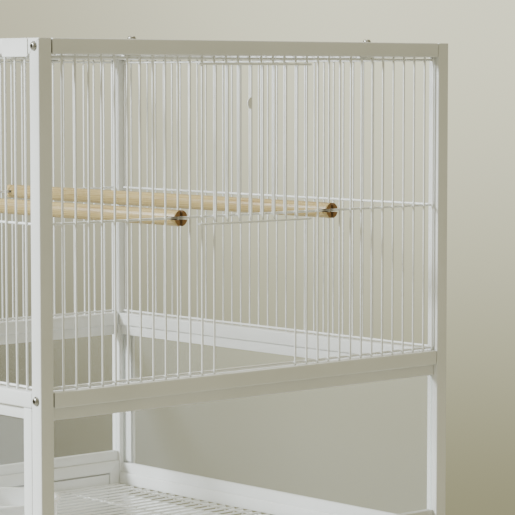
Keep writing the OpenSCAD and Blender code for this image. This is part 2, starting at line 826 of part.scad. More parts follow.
post(1, -1);  // post_front_right
post(-1, -1);  // post_front_left
post(1, 1);  // post_back_right
post(-1, 1);  // post_back_left
leg(1, -1);  // leg_front_right
leg(-1, -1);  // leg_front_left
leg(1, 1);  // leg_back_right
leg(-1, 1);  // leg_back_left
leg_joiners();
leg_plugs();
frame_rails(front);  // front_rails
frame_rails(back);  // back_rails
side_rails(left);  // left_rails
side_rails(right);  // right_rails
tray_frame(left);  // left_tray_frame
tray_frame(right);  // right_tray_frame
right_infill_panel();
rail_end_nuts();
frame_bolts();
roof_wire_panel();
front_wire_panel();
back_wire_panel();
side_panel(left);  // left_wire_panel
side_panel(right);  // right_wire_panel
guillotine_door(right, door_top_drop);  // right_door
guillotine_door(left, door_top_drop + door_travel);  // left_door
front_door();
front_door_bolt();
frame_channels(front);  // front_channels
frame_channels(back);  // back_channels
side_channels(left);  // left_channels
side_channels(right);  // right_channels
clear_panel(front, front_half - tube - 0.5, front_sill);  // front_clear_panel
clear_panel(back, front_half - tube - 0.5, front_sill);  // back_clear_panel
clear_panel(left, side_half - tube - 0.5, side_sill);  // left_clear_panel
clear_panel(right, side_half - tube - 0.5, side_sill);  // right_clear_panel
perch(-1);  // front_perch
perch(1);  // back_perch
bowl(-6);  // feeding_bowl
bowl(-156);  // water_bowl
floor_grate();
tray();
name_plate();
shelf_rails();
storage_shelf();
caster_stems();
caster_fork(corners[0]);  // caster_fork_front_right
caster_fork(corners[1]);  // caster_fork_front_left
caster_fork(corners[2]);  // caster_fork_back_right
caster_fork(corners[3]);  // caster_fork_back_left
caster_wheel(corners[0]);  // caster_wheel_front_right
caster_wheel(corners[1]);  // caster_wheel_front_left
caster_wheel(corners[2]);  // caster_wheel_back_right
caster_wheel(corners[3]);  // caster_wheel_back_left
caster_axle(corners[0]);  // caster_axle_front_right
caster_axle(corners[1]);  // caster_axle_front_left
caster_axle(corners[2]);  // caster_axle_back_right
caster_axle(corners[3]);  // caster_axle_back_left
caster_brake(corners[0]);  // caster_brake_front_right
caster_brake(corners[1]);  // caster_brake_front_left
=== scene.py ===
import json
import math

import bpy
from mathutils import Matrix, Vector

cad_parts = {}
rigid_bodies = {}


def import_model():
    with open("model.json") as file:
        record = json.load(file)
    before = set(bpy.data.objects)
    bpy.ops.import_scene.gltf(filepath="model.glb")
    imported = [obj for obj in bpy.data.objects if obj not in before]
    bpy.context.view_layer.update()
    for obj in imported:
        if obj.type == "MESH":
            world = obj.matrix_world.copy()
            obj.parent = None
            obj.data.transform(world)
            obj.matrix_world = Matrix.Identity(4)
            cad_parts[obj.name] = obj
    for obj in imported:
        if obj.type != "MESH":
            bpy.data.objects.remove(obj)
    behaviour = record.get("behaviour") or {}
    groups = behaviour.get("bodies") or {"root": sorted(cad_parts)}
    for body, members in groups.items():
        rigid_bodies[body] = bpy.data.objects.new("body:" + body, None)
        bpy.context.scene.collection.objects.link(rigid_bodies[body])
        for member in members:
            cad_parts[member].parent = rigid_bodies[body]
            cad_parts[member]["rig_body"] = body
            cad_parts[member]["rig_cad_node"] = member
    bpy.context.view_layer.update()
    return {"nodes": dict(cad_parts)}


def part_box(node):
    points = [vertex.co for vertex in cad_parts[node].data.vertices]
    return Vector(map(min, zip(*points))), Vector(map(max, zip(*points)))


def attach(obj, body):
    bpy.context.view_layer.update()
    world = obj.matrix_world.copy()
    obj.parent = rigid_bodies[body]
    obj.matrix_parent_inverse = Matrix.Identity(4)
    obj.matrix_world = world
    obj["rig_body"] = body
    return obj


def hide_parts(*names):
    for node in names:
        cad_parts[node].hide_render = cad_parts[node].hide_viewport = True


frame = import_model()
print("frame loaded")

mm = 0.001

# camera and studio

view = {
    "place": (2.0388, -1.5758, 1.4631),
    "turn": 48.15,          # degrees round Z
    "tilt": 4.35,           # degrees down
    "lens": 165.1,
}

studio = {
    "floorRadius": 6.0,
    "floorSolid": 1.6,      # the floor fades into the backdrop between these two radii
    "floorGone": 4.6,
    "floorColour": (0.50, 0.485, 0.40),
    "lowBackdrop": (0.36, 0.345, 0.20),
    "highBackdrop": (1.28, 1.27, 0.92),
    "lowCorner": (0.10, 0.09, 0.045),      # the backdrop falls into soft shade on one side
    "highCorner": (0.78, 0.75, 0.52),
    "lowAngle": -0.20,      # height of the view ray at which the backdrop is darkest
    "highAngle": 0.06,
    "sideways": (0.667, 0.745, 0.0),
    "shadeStart": 0.05,
    "shadeEnd": -0.13,
    "lowAmbient": (0.23, 0.21, 0.13),
    "highAmbient": (0.70, 0.665, 0.45),
    "keyPlace": (-2.6, -5.2, 4.2),
    "keySize": 1.5,
    "keyPower": 960.0,
    "keyColour": (0.88, 0.95, 1.0),
    "topPlace": (-0.6, 0.8, 5.0),
    "topSize": 2.5,
    "topPower": 60.0,
    "topColour": (1.0, 0.99, 0.95),
    "aim": (0.0, 0.0, 1.2),
}


def makeCamera():
    bpy.ops.object.camera_add(
        location=view["place"],
        rotation=(math.radians(90 - view["tilt"]), 0, math.radians(view["turn"])),
    )
    camera = bpy.context.object
    camera.data.lens = view["lens"]
    camera.data.sensor_width = 36
    camera.data.clip_start = 0.05
    camera.data.clip_end = 200
    bpy.context.scene.camera = camera


def makeLamp(name):
    bpy.ops.object.light_add(type="AREA", location=studio[name + "Place"])
    lamp = bpy.context.object
    lamp.name = name + "Lamp"
    lamp.rotation_euler = (Vector(studio["aim"]) - lamp.location).to_track_quat("-Z", "Y").to_euler()
    lamp.data.shape = "DISK"
    lamp.data.size = studio[name + "Size"]
    lamp.data.energy = studio[name + "Power"]
    lamp.data.color = studio[name + "Colour"]


def makeBackdrop():
    # a backdrop seen only by camera rays, with painted shade: darker low down and falling into shade on one
    # side; and the softer ambient light that the piece stands in
    world = bpy.data.worlds.new("studioWorld")
    bpy.context.scene.world = world
    world.use_nodes = True
    tree = world.node_tree

    def ramp(value, low, high):
        node = tree.nodes.new("ShaderNodeMapRange")
        node.interpolation_type = "SMOOTHSTEP"
        node.inputs["From Min"].default_value = low
        node.inputs["From Max"].default_value = high
        tree.links.new(value, node.inputs["Value"])
        return node.outputs["Result"]

    def blend(factor, first, second):
        node = tree.nodes.new("ShaderNodeMix")
        node.data_type = "RGBA"
        tree.links.new(factor, node.inputs[0])
        for socket, shade in ((node.inputs[6], first), (node.inputs[7], second)):
            if isinstance(shade, str):
                socket.default_value = (*studio[shade], 1)
            else:
                tree.links.new(shade, socket)
        return node.outputs[2]

    ray = tree.nodes.new("ShaderNodeTexCoord").outputs["Generated"]
    split = tree.nodes.new("ShaderNodeSeparateXYZ")
    tree.links.new(ray, split.inputs["Vector"])
    across = tree.nodes.new("ShaderNodeVectorMath")
    across.operation = "DOT_PRODUCT"
    across.inputs[1].default_value = studio["sideways"]
    tree.links.new(ray, across.inputs[0])
    height = ramp(split.outputs["Z"], studio["lowAngle"], studio["highAngle"])
    side = ramp(across.outputs["Value"], studio["shadeEnd"], studio["shadeStart"])
    wall = blend(side, blend(height, "lowCorner", "highCorner"), blend(height, "lowBackdrop", "highBackdrop"))
    ambient = blend(ramp(split.outputs["Z"], -1.0, 1.0), "lowAmbient", "highAmbient")
    seen = tree.nodes.new("ShaderNodeLightPath").outputs["Is Camera Ray"]
    tree.links.new(blend(seen, ambient, wall), tree.nodes["Background"].inputs["Color"])


def makeFloor():
    bpy.ops.mesh.primitive_circle_add(vertices=96, radius=studio["floorRadius"], fill_type="NGON")
    floor = bpy.context.object
    floor.name = "studioFloor"
    paint = bpy.data.materials.new("studioFloorPaint")
    paint.use_nodes = True
    tree = paint.node_tree
    shader = tree.nodes["Principled BSDF"]
    shader.inputs["Base Color"].default_value = (*studio["floorColour"], 1)
    shader.inputs["Roughness"].default_value = 0.85
    place = tree.nodes.new("ShaderNodeTexCoord")
    reach = tree.nodes.new("ShaderNodeVectorMath")
    reach.operation = "LENGTH"
    fade = tree.nodes.new("ShaderNodeMapRange")
    fade.interpolation_type = "SMOOTHSTEP"
    fade.inputs["From Min"].default_value = studio["floorSolid"]
    fade.inputs["From Max"].default_value = studio["floorGone"]
    fade.inputs["To Min"].default_value = 1.0
    fade.inputs["To Max"].default_value = 0.0
    tree.links.new(place.outputs["Object"], reach.inputs[0])
    tree.links.new(reach.outputs["Value"], fade.inputs["Value"])
    tree.links.new(fade.outputs["Result"], shader.inputs["Alpha"])
    floor.data.materials.append(paint)


makeCamera()
makeLamp("key")
makeLamp("top")
makeBackdrop()
makeFloor()
print("camera and studio ready")

# small tools for modelling


def deselectAll():
    if bpy.context.mode != "OBJECT":
        bpy.ops.object.mode_set(mode="OBJECT")
    bpy.ops.object.select_all(action="DESELECT")


def makeActive(piece):
    deselectAll()
    piece.select_set(True)
    bpy.context.view_layer.objects.active = piece


def pickIn(piece, kind, chosen):
    makeActive(piece)
    bpy.ops.object.mode_set(mode="EDIT")
    bpy.ops.mesh.select_mode(type=kind)
    bpy.ops.mesh.select_all(action="DESELECT")
    bpy.ops.object.mode_set(mode="OBJECT")
    for item in chosen(piece.data):
        item.select = True
    bpy.ops.object.mode_set(mode="EDIT")


def pickFaces(piece, test):
    pickIn(piece, "FACE", lambda mesh: [f for f in mesh.polygons if test(f.center, f.normal)])


def pickEdges(piece, test):
    def chosen(mesh):
        ends = [(e, *(mesh.vertices[v].co for v in e.vertices)) for e in mesh.edges]
        return [e for e, a, b in ends if test(a, b)]
    pickIn(piece, "EDGE", chosen)


def bevelPicked(width, steps=2):
    bpy.ops.mesh.bevel(offset=width, offset_type="OFFSET", segments=steps, profile=0.5, affect="EDGES")
    bpy.ops.object.mode_set(mode="OBJECT")


def applyPlace(piece):
    makeActive(piece)
    bpy.ops.object.transform_apply(location=True, rotation=True, scale=True)


def addBox(low, high):
    deselectAll()
    low, high = Vector(low), Vector(high)
    bpy.ops.mesh.primitive_cube_add(size=1, location=(low + high) / 2)
    piece = bpy.context.object
    piece.scale = high - low
    applyPlace(piece)
    return piece


def roundedBox(low, high, width, steps=2):
    piece = addBox(low, high)
    pickEdges(piece, lambda a, b: True)
    bevelPicked(width, steps)
    return piece


turns = {"x": (0, math.pi / 2, 0), "y": (math.pi / 2, 0, 0), "z": (0, 0, 0)}
axisNumber = {"x": 0, "y": 1, "z": 2}


def addRound(axis, length, diameter, middle, sides):
    deselectAll()
    bpy.ops.mesh.primitive_cylinder_add(
        vertices=sides, radius=diameter / 2, depth=length, location=middle, rotation=turns[axis])
    piece = bpy.context.object
    applyPlace(piece)
    return piece


def smoothed(piece, degrees=35):
    makeActive(piece)
    bpy.ops.object.shade_smooth_by_angle(angle=math.radians(degrees))
    return piece


def copied(piece, matrix):
    twin = piece.copy()
    twin.data = piece.data.copy()
    bpy.context.collection.objects.link(twin)
    twin.data.transform(matrix)
    return twin


def moved(piece, offset):
    return copied(piece, Matrix.Translation(offset))


def joined(name, parts):
    deselectAll()
    for part in parts:
        part.select_set(True)
    bpy.context.view_layer.objects.active = parts[0]
    if len(parts) > 1:
        bpy.ops.object.join()
    whole = bpy.context.view_layer.objects.active
    whole.name = name
    whole.data.name = name
    return whole


def applied(piece, kind, **settings):
    makeActive(piece)
    modifier = piece.modifiers.new(kind.title(), kind)
    for key, value in settings.items():
        setattr(modifier, key, value)
    bpy.ops.object.modifier_apply(modifier=modifier.name)
    return piece


def hollowed(piece, cutter):
    applied(piece, "BOOLEAN", operation="DIFFERENCE", object=cutter, solver="EXACT")
    bpy.data.objects.remove(cutter)
    return piece


def turned(profile, foot, sides):
    # a round shape grown ring by ring from (radius, height) pairs, starting at the foot's disc
    deselectAll()
    bpy.ops.mesh.primitive_circle_add(
        vertices=sides, radius=profile[0][0], fill_type="NGON", location=(0, 0, profile[0][1]))
    piece = bpy.context.object
    applyPlace(piece)
    bpy.ops.object.mode_set(mode="EDIT")
    bpy.ops.mesh.select_mode(type="FACE")
    bpy.ops.mesh.select_all(action="SELECT")
    for (oldR, oldZ), (newR, newZ) in zip(profile, profile[1:]):
        bpy.ops.mesh.extrude_region_move(TRANSFORM_OT_translate={"value": (0, 0, newZ - oldZ)})
        k = newR / oldR
        bpy.ops.transform.resize(value=(k, k, 1), center_override=(0, 0, newZ))
    bpy.ops.mesh.select_all(action="SELECT")
    bpy.ops.mesh.normals_make_consistent(inside=False)
    bpy.ops.object.mode_set(mode="OBJECT")
    piece.data.transform(Matrix.Translation(foot))
    return piece


def bentWire(points, diameter, sides=6):
    # a wire along a line of points, with closed ends
    deselectAll()
    bpy.ops.curve.primitive_nurbs_path_add()
    path = bpy.context.object
    path.location = (0, 0, 0)
    path.data.splines.clear()
    spline = path.data.splines.new("POLY")
    spline.points.add(len(points) - 1)
    for knot, point in zip(spline.points, points):
        knot.co = (*point, 1)
    path.data.bevel_depth = diameter / 2
    path.data.bevel_resolution = (sides - 4) // 2
    path.data.use_fill_caps = True
    bpy.ops.object.convert(target="MESH")
    return bpy.context.object


def arc(middle, radius, start, end, steps, across, up):
    # points on a round bend, from angle start to end in degrees
    found = []
    for k in range(steps + 1):
        a = math.radians(start + (end - start) * k / steps)
        along = Vector(across) * radius * math.cos(a)
        found.append(Vector(middle) + along + Vector(up) * radius * math.sin(a))
    return found


def softCopy(node, width, steps=2, degrees=35):
    # a merged copy of a CAD node with its sharp edges rounded
    source = frame["nodes"][node]
    twin = source.copy()
    twin.data = source.data.copy()
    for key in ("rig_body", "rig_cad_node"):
        if key in twin:
            del twin[key]
    bpy.context.collection.objects.link(twin)
    twin.parent = None
    twin.matrix_world = Matrix.Identity(4)
    twin.data.materials.clear()
    makeActive(twin)
    bpy.ops.object.mode_set(mode="EDIT")
    bpy.ops.mesh.select_all(action="SELECT")
    bpy.ops.mesh.remove_doubles(threshold=0.00001)
    bpy.ops.mesh.dissolve_limited(angle_limit=math.radians(1))
    bpy.ops.object.mode_set(mode="OBJECT")
    applied(twin, "BEVEL", width=width, segments=steps, limit_method="ANGLE",
            angle_limit=math.radians(degrees), use_clamp_overlap=True, miter_outer="MITER_ARC")
    return smoothed(twin)


def settle(piece, name, paint, body, slotName, *nodes):
    # the piece's name, finish and body, and the CAD nodes it stands for
    piece.name = name
    piece.data.name = name
    if paint is not None:
        piece.data.materials.clear()
        piece.data.materials.append(paint)
    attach(piece, body)
    if nodes:
        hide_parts(*nodes)
    return piece


# finishes

coat = {
    "white": (0.80, 0.805, 0.80),
    "shade": (0.73, 0.735, 0.725),
    "roughness": 0.36,
    "peelSize": 900.0,      # orange peel, bumps per metre
    "peelDepth": 0.00004,
    "dustSize": 7.0,
}

wood = {
    "light": (0.52, 0.395, 0.175),
    "dark": (0.30, 0.18, 0.062),
    "end": (0.26, 0.135, 0.05),
    # painted shade: the faces inside the perch slots get this near black colour for the shade deep in the
    # narrow slots
    "groove": (0.055, 0.042, 0.022),
    "fibre": 420.0,         # fibres per metre across the grain
    "stretch": 0.045,       # the fibres' scale along the dowel against across it
    "rings": 190.0,         # growth rings on the sawn ends
}

steel = {
    "dark": (0.29, 0.28, 0.25),
    "light": (0.43, 0.42, 0.385),
    "brushAcross": 200.0,
    "brushAlong": 2600.0,
}


class Paint:
    # a material whose nodes are added one after another
    def __init__(self, name):
        self.material = bpy.data.materials.new(name)
        self.material.use_nodes = True
        self.tree = self.material.node_tree
        self.shader = self.tree.nodes["Principled BSDF"]
        self.place = self.add("ShaderNodeTexCoord").outputs["Object"]

    def add(self, kind, inputs=None, **settings):
        node = self.tree.nodes.new(kind)
        for key, value in settings.items():
            setattr(node, key, value)
        for key, value in (inputs or {}).items():
            if isinstance(value, bpy.types.NodeSocket):
                self.tree.links.new(value, node.inputs[key])
            else:
                node.inputs[key].default_value = value
        return node

    def set(self, **values):
        for key, value in values.items():
            socket = self.shader.inputs[key.replace("_", " ")]
            if isinstance(value, bpy.types.NodeSocket):
                self.tree.links.new(value, socket)
            else:
                socket.default_value = value
        return self

    def noise(self, scale, detail=3.0, rough=0.5, vector=None):
        return self.add("ShaderNodeTexNoise", {
            "Vector": vector or self.place, "Scale": scale,
            "Detail": detail, "Roughness": rough}).outputs["Fac"]

    def stretched(self, scale, centre=(0, 0, 0)):
        shift = [-c * s for c, s in zip(centre, scale)]
        return self.add("ShaderNodeMapping", {
            "Vector": self.place, "Scale": scale, "Location": shift}).outputs["Vector"]

    def span(self, value, low, high, fromLow=0.0, fromHigh=1.0):
        return self.add("ShaderNodeMapRange", {
            "Value": value, "From Min": fromLow, "From Max": fromHigh,
            "To Min": low, "To Max": high}).outputs["Result"]

    def mix(self, factor, first, second):
        node = self.add("ShaderNodeMix", {"Factor": factor}, data_type="RGBA")
        for socket, value in ((node.inputs[6], first), (node.inputs[7], second)):
            if isinstance(value, bpy.types.NodeSocket):
                self.tree.links.new(value, socket)
            else:
                socket.default_value = (*value, 1)
        return node.outputs[2]

    def bump(self, height, distance, strength=1.0):
        return self.add("ShaderNodeBump", {
            "Height": height, "Distance": distance, "Strength": strength}).outputs["Normal"]


def powderCoat(name, peel=1.0, paintedLightGain=1.0):
    paint = Paint(name)
    dust = paint.span(paint.noise(coat["dustSize"], 4.0), 0.0, 1.0, 0.42, 0.75)
    grain = paint.noise(coat["peelSize"], 2.0)
    fine = paint.noise(coat["peelSize"] * 0.22, 2.0)
    colour = paint.mix(dust, [c * paintedLightGain for c in coat["white"]], [c * paintedLightGain for c in coat["shade"]])
    rough = paint.span(paint.noise(60.0, 3.0), coat["roughness"] - 0.05, coat["roughness"] + 0.08)
    height = paint.add("ShaderNodeMath", {0: grain, 1: fine}, operation="ADD").outputs["Value"]
    paint.set(Base_Color=colour, Roughness=rough, Normal=paint.bump(height, coat["peelDepth"] * peel))
    paint.set(Coat_Weight=0.12, Coat_Roughness=0.22)
    return paint.material


def zincSteel(name):
    paint = Paint(name)
    cloud = paint.noise(140.0, 5.0, 0.6)
    colour = paint.mix(cloud, steel["dark"], steel["light"])
    brush = (steel["brushAcross"], steel["brushAcross"], steel["brushAlong"])
    lines = paint.noise(1.0, 2.0, 0.5, paint.stretched(brush))
    paint.set(Base_Color=colour, Metallic=1.0, Roughness=paint.span(cloud, 0.24, 0.42))
    paint.set(Normal=paint.bump(lines, 0.00003))
    return paint.material


def mouldedPlastic(name, low, high, roughness, grain, depth):
    paint = Paint(name)
    paint.set(Base_Color=paint.mix(paint.noise(25.0, 4.0), low, high))
    paint.set(Roughness=paint.span(paint.noise(90.0), roughness - 0.04, roughness + 0.08))
    paint.set(Normal=paint.bump(paint.noise(grain, 2.0), depth))
    return paint


def clearSheet(name, colour, alpha):
    paint = Paint(name)
    smear = paint.span(paint.noise(9.0, 4.0), 0.03, 0.13, 0.35, 0.75)
    scuffs = paint.noise(1.0, 1.0, 0.5, paint.stretched((30.0, 30.0, 900.0)))
    paint.set(Base_Color=(*colour, 1), Roughness=smear, Alpha=alpha, IOR=1.49)
    paint.set(Normal=paint.bump(scuffs, 0.00001, 0.3))
    return paint.material


def planedWood(name, centre):
    # a bare dowel whose fibres run along X
    paint = Paint(name)
    along = paint.stretched((wood["fibre"] * wood["stretch"], wood["fibre"], wood["fibre"]), centre)
    fibre = paint.noise(1.0, 5.0, 0.65, along)
    ring = paint.add("ShaderNodeTexWave", {
        "Vector": paint.stretched((6.0, 150.0, 150.0), centre), "Scale": 1.0, "Distortion": 6.0,
        "Detail": 3.0, "Detail Scale": 1.2}, wave_type="BANDS", bands_direction="Z").outputs["Fac"]
    tone = paint.add("ShaderNodeMath", {0: fibre, 1: ring}, operation="MULTIPLY").outputs["Value"]
    colour = paint.mix(paint.span(tone, 0.0, 0.75, 0.22, 0.62), wood["light"], wood["dark"])
    blotch = paint.noise(1.0, 2.0, 0.5, paint.stretched((9.0, 60.0, 60.0), centre))
    knots = paint.span(blotch, 0.0, 0.6, 0.60, 0.80)
    paint.set(Base_Color=paint.mix(knots, colour, wood["dark"]), Roughness=paint.span(fibre, 0.30, 0.52))
    paint.set(Normal=paint.bump(fibre, 0.00012))
    return paint.material


def endGrain(name, centre):
    paint = Paint(name)
    local = paint.stretched((1.0, 1.0, 1.0), centre)
    ring = paint.add("ShaderNodeTexWave", {
        "Vector": local, "Scale": wood["rings"], "Distortion": 1.4, "Detail": 2.0},
        wave_type="RINGS", rings_direction="X").outputs["Fac"]
    pores = paint.noise(2600.0, 2.0)
    tone = paint.add("ShaderNodeMath", {0: ring, 1: pores}, operation="MULTIPLY").outputs["Value"]
    paint.set(Base_Color=paint.mix(tone, wood["end"], wood["dark"]), Roughness=0.8)
    paint.set(Normal=paint.bump(pores, 0.00015))
    return paint.material


# painted shade for the faces inside the perch slots
grooveShadeWood = mouldedPlastic("grooveShadeWood", wood["groove"], wood["end"], 0.85, 900.0, 0.0001).material
frameCoat = powderCoat("frameCoat")
# painted light: the wires get the frame's own coat made 8% lighter, standing in for the bright lit sides of
# the thin round wires
wireCoat = powderCoat("wireCoat", 1.6, 1.08)
trayCoat = powderCoat("trayCoat", 0.7)
zinc = zincSteel("zinc")
treadRubber = mouldedPlastic(
    "treadRubber", (0.035, 0.035, 0.038), (0.065, 0.064, 0.062), 0.62, 700.0, 0.00006).material
hubPlastic = mouldedPlastic(
    "hubPlastic", (0.27, 0.27, 0.28), (0.33, 0.33, 0.335), 0.42, 900.0, 0.00004).material
darkPlastic = mouldedPlastic(
    "darkPlastic", (0.035, 0.035, 0.037), (0.06, 0.06, 0.062), 0.48, 1100.0, 0.00005).material
bowlPaint = mouldedPlastic("bowlPlastic", (0.79, 0.79, 0.79), (0.85, 0.85, 0.845), 0.20, 500.0, 0.00001)
bowlPlastic = bowlPaint.set(Coat_Weight=0.3, Coat_Roughness=0.08, Subsurface_Weight=0.05).material
plateEnamel = mouldedPlastic(
    "plateEnamel", (0.83, 0.83, 0.83), (0.88, 0.88, 0.88), 0.16, 400.0, 0.00002).material
clearFace = clearSheet("clearFace", (0.93, 0.97, 0.97), 0.055)
clearEdge = clearSheet("clearEdge", (0.74, 0.86, 0.83), 0.32)
print("finishes ready")

# places taken from the frame

postLow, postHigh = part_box("post_front_right")
tube = postHigh.x - postLow.x
top = postHigh.z
halfWidth = postHigh.x
halfDepth = -postLow.y
faceTurns = {"front": 0, "right": 90, "back": 180, "left": 270}
corners = {"front_right": (1, -1), "front_left": (-1, -1), "back_right": (1, 1), "back_left": (-1, 1)}


def faceMatrix(face):
    # turns a piece drawn as seen from outside (x along the face, y into the cage) onto that face
    out = halfDepth if face in ("front", "back") else halfWidth
    return Matrix.Rotation(math.radians(faceTurns[face]), 4, "Z") @ Matrix.Translation((0, -out, 0))


def solidsOf(node):
    # low and high corner of each separate solid in a CAD node
    source = frame["nodes"][node]
    twin = source.copy()
    twin.data = source.data.copy()
    bpy.context.collection.objects.link(twin)
    makeActive(twin)
    bpy.ops.object.mode_set(mode="EDIT")
    bpy.ops.mesh.select_all(action="SELECT")
    bpy.ops.mesh.remove_doubles(threshold=0.00001)
    bpy.ops.mesh.separate(type="LOOSE")
    bpy.ops.object.mode_set(mode="OBJECT")
    boxes = []
    for part in list(bpy.context.selected_objects):
        points = [v.co for v in part.data.vertices]
        boxes.append((Vector([min(p[k] for p in points) for k in range(3)]),
                      Vector([max(p[k] for p in points) for k in range(3)])))
        bpy.data.objects.remove(part)
    return sorted(boxes, key=lambda box: tuple(round(v, 4) for v in (*box[0], *box[1])))


# square tube frame

tubing = {
    "wall": 1.0 * mm,
    "corner": 1.3 * mm,
    "seam": 0.35 * mm,
}


def squareTube(low, high, cuts=()):
    # a hollow tube along the longest side of its box; each cut is (point, normal of what is cut off)
    size = Vector(high) - Vector(low)
    along = max(range(3), key=lambda k: size[k])
    middle = (Vector(low) + Vector(high)) / 2
    piece = addBox(low, high)
    pickEdges(piece, lambda a, b: abs((a - b)[along]) > size[along] / 2)
    bevelPicked(tubing["corner"], 3)
    for point, normal in cuts:
        bpy.ops.object.mode_set(mode="EDIT")
        bpy.ops.mesh.select_all(action="SELECT")
        bpy.ops.mesh.bisect(plane_co=point, plane_no=normal, use_fill=True, clear_outer=True)
        bpy.ops.object.mode_set(mode="OBJECT")
    pickEdges(piece, lambda a, b: abs((a - b).normalized()[along]) < 0.95)
    bevelPicked(tubing["seam"], 1)

    def onEnd(centre, normal):
        off = centre - middle
        off[along] = 0
        return off.length < tube * 0.2 and abs(normal[along]) > 0.5
    pickFaces(piece, onEnd)
    bpy.ops.mesh.inset(thickness=tubing["wall"], use_even_offset=True)
    bpy.ops.mesh.bridge_edge_loops()
    bpy.ops.object.mode_set(mode="OBJECT")
    return piece


def mitre(point, outward, rise):
    # a 45 degree cut through a point: outward is the side direction, rise is +1 or -1
    normal = Vector(outward) + Vector((0, 0, rise))
    return (point, normal.normalized())


def makePosts():
    for name, (sx, sy) in corners.items():
        low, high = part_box("post_" + name)
        inner = Vector((sx * (halfWidth - tube), low.y, top - tube))
        piece = squareTube(low, high, [mitre(inner, (-sx, 0, 0), 1)])
        settle(smoothed(piece), "post_" + name + "_tube", frameCoat, "cage", "white_paint", "post_" + name)
        low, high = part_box("leg_" + name)
        piece = squareTube(low, high)
        settle(smoothed(piece), "leg_" + name + "_tube", frameCoat, "cage", "white_paint", "leg_" + name)


def settleTubes(name, parts, node):
    settle(smoothed(joined("rails", parts)), name, frameCoat, "cage", "white_paint", node)


def makeRails():
    for face in ("front", "back"):
        parts = []
        for low, high in solidsOf(face + "_rails"):
            cuts = []
            if high.z > top - mm:
                for side in (-1, 1):
                    inner = Vector((side * (halfWidth - tube), low.y, top - tube))
                    cuts.append(mitre(inner, (side, 0, 0), -1))
            parts.append(squareTube(low, high, cuts))
        settleTubes(face + "_rail_tubes", parts, face + "_rails")
    for face in ("left", "right"):
        parts = [squareTube(low, high) for low, high in solidsOf(face + "_rails")]
        settleTubes(face + "_rail_tubes", parts, face + "_rails")
    parts = [squareTube(low, high) for low, high in solidsOf("shelf_rails")]
    settleTubes("shelf_rail_tubes", parts, "shelf_rails")


def makeTrayFrames():
    # four tubes mitred at their corners; the node is one welded solid, so its box gives them
    for face in ("left", "right"):
        node = face + "_tray_frame"
        low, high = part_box(node)
        innerLow = Vector((low.x, low.y + tube, low.z + tube))
        innerHigh = Vector((low.x, high.y - tube, high.z - tube))
        parts = []
        for rise, innerZ in ((1, innerHigh.z), (-1, innerLow.z)):
            cuts = [mitre((low.x, innerY, innerZ), (0, side, 0), -rise)
                    for side, innerY in ((1, innerHigh.y), (-1, innerLow.y))]
            bottom, ceiling = (innerZ, high.z) if rise > 0 else (low.z, innerZ)
            parts.append(squareTube((low.x, low.y, bottom), (high.x, high.y, ceiling), cuts))
        for side, innerY in ((1, innerHigh.y), (-1, innerLow.y)):
            cuts = [mitre((low.x, innerY, innerZ), (0, -side, 0), rise)
                    for rise, innerZ in ((1, innerHigh.z), (-1, innerLow.z))]
            near, far = (innerY, high.y) if side > 0 else (low.y, innerY)
            parts.append(squareTube((low.x, near, low.z), (high.x, far, high.z), cuts))
        settleTubes(node + "_tubes", parts, node)


makePosts()
makeRails()
makeTrayFrames()
print("frame tubes made")

# wire panels

wire = {
    "bar": 2.2 * mm,
    "cross": 2.5 * mm,
    "barDepth": 6.0 * mm,
    "crossDepth": 8.1 * mm,
    "sidePitch": 15.6 * mm,
    "frontPitch": 15.8 * mm,
    "crossDrops": (17.9 * mm, 173.0 * mm, 327.0 * mm),
    "sides": 12,
    "borderInset": 17.3 * mm,
    "lugAt": 157.0 * mm,
    "lug": 10.0 * mm,
    "middleRailDrop": 330.0 * mm,
    "bead": 3.5 * mm,
    "overrun": 1.0 * mm,    # how far a cross wire runs past the border wire
    "cutTail": 1.6 * mm,    # and a cut bar past the cross wire it ends on
    "smoothAngle": 50,
}


def roundBar(axis, start, end, diameter, place):
    # a straight wire with rounded ends, along one axis from start to end
    middle = list(place)
    middle[axisNumber[axis]] = (start + end) / 2
    bar = addRound(axis, end - start, diameter, middle, wire["sides"])
    k = axisNumber[axis]
    pickFaces(bar, lambda c, n: abs(n[k]) > 0.9)
    bevelPicked(diameter * 0.28, 2)
    return bar


def weldBead(size):
    # the small fillet that the coat makes where two wires are welded
    deselectAll()
    bpy.ops.mesh.primitive_uv_sphere_add(segments=10, ring_count=6, radius=size / 2)
    bead = bpy.context.object
    bead.scale = (1.0, 1.0, 0.62)
    applyPlace(bead)
    return bead


def barRow(bar, offsets):
    row = [moved(bar, offset) for offset in offsets]
    bpy.data.objects.remove(bar)
    return row


def beadsAt(places, turn="y"):
    bead = weldBead(wire["bead"])
    lay = Matrix.Rotation(math.pi / 2, 4, "X") if turn == "y" else Matrix.Identity(4)
    beads = [copied(bead, Matrix.Translation(place) @ lay) for place in places]
    bpy.data.objects.remove(bead)
    return beads


def crossLevels():
    return [top - drop for drop in wire["crossDrops"]]


def crossWire(start, end, depth=0.0, z=0.0):
    return roundBar("x", start, end, wire["cross"], (0, depth, z))


def uprights(foot, head, depth, xs):
    return barRow(roundBar("z", foot, head, wire["bar"], (0, depth, 0)), [(x, 0, 0) for x in xs])


def settleWires(parts, name, body, node, face=None):
    piece = joined(name, parts)
    if face:
        piece.data.transform(faceMatrix(face))
    settle(smoothed(piece, wire["smoothAngle"]), name, wireCoat, body, "white_paint", node)


def sideXs():
    pitch = wire["sidePitch"]
    count = int((halfDepth - wire["borderInset"]) / pitch - 0.5)
    return [(k - 0.5) * pitch for k in range(-count, count + 2)]


def frontXs(reach):
    pitch = wire["frontPitch"]
    count = int(reach / pitch)
    return [k * pitch for k in range(-count, count + 1)]


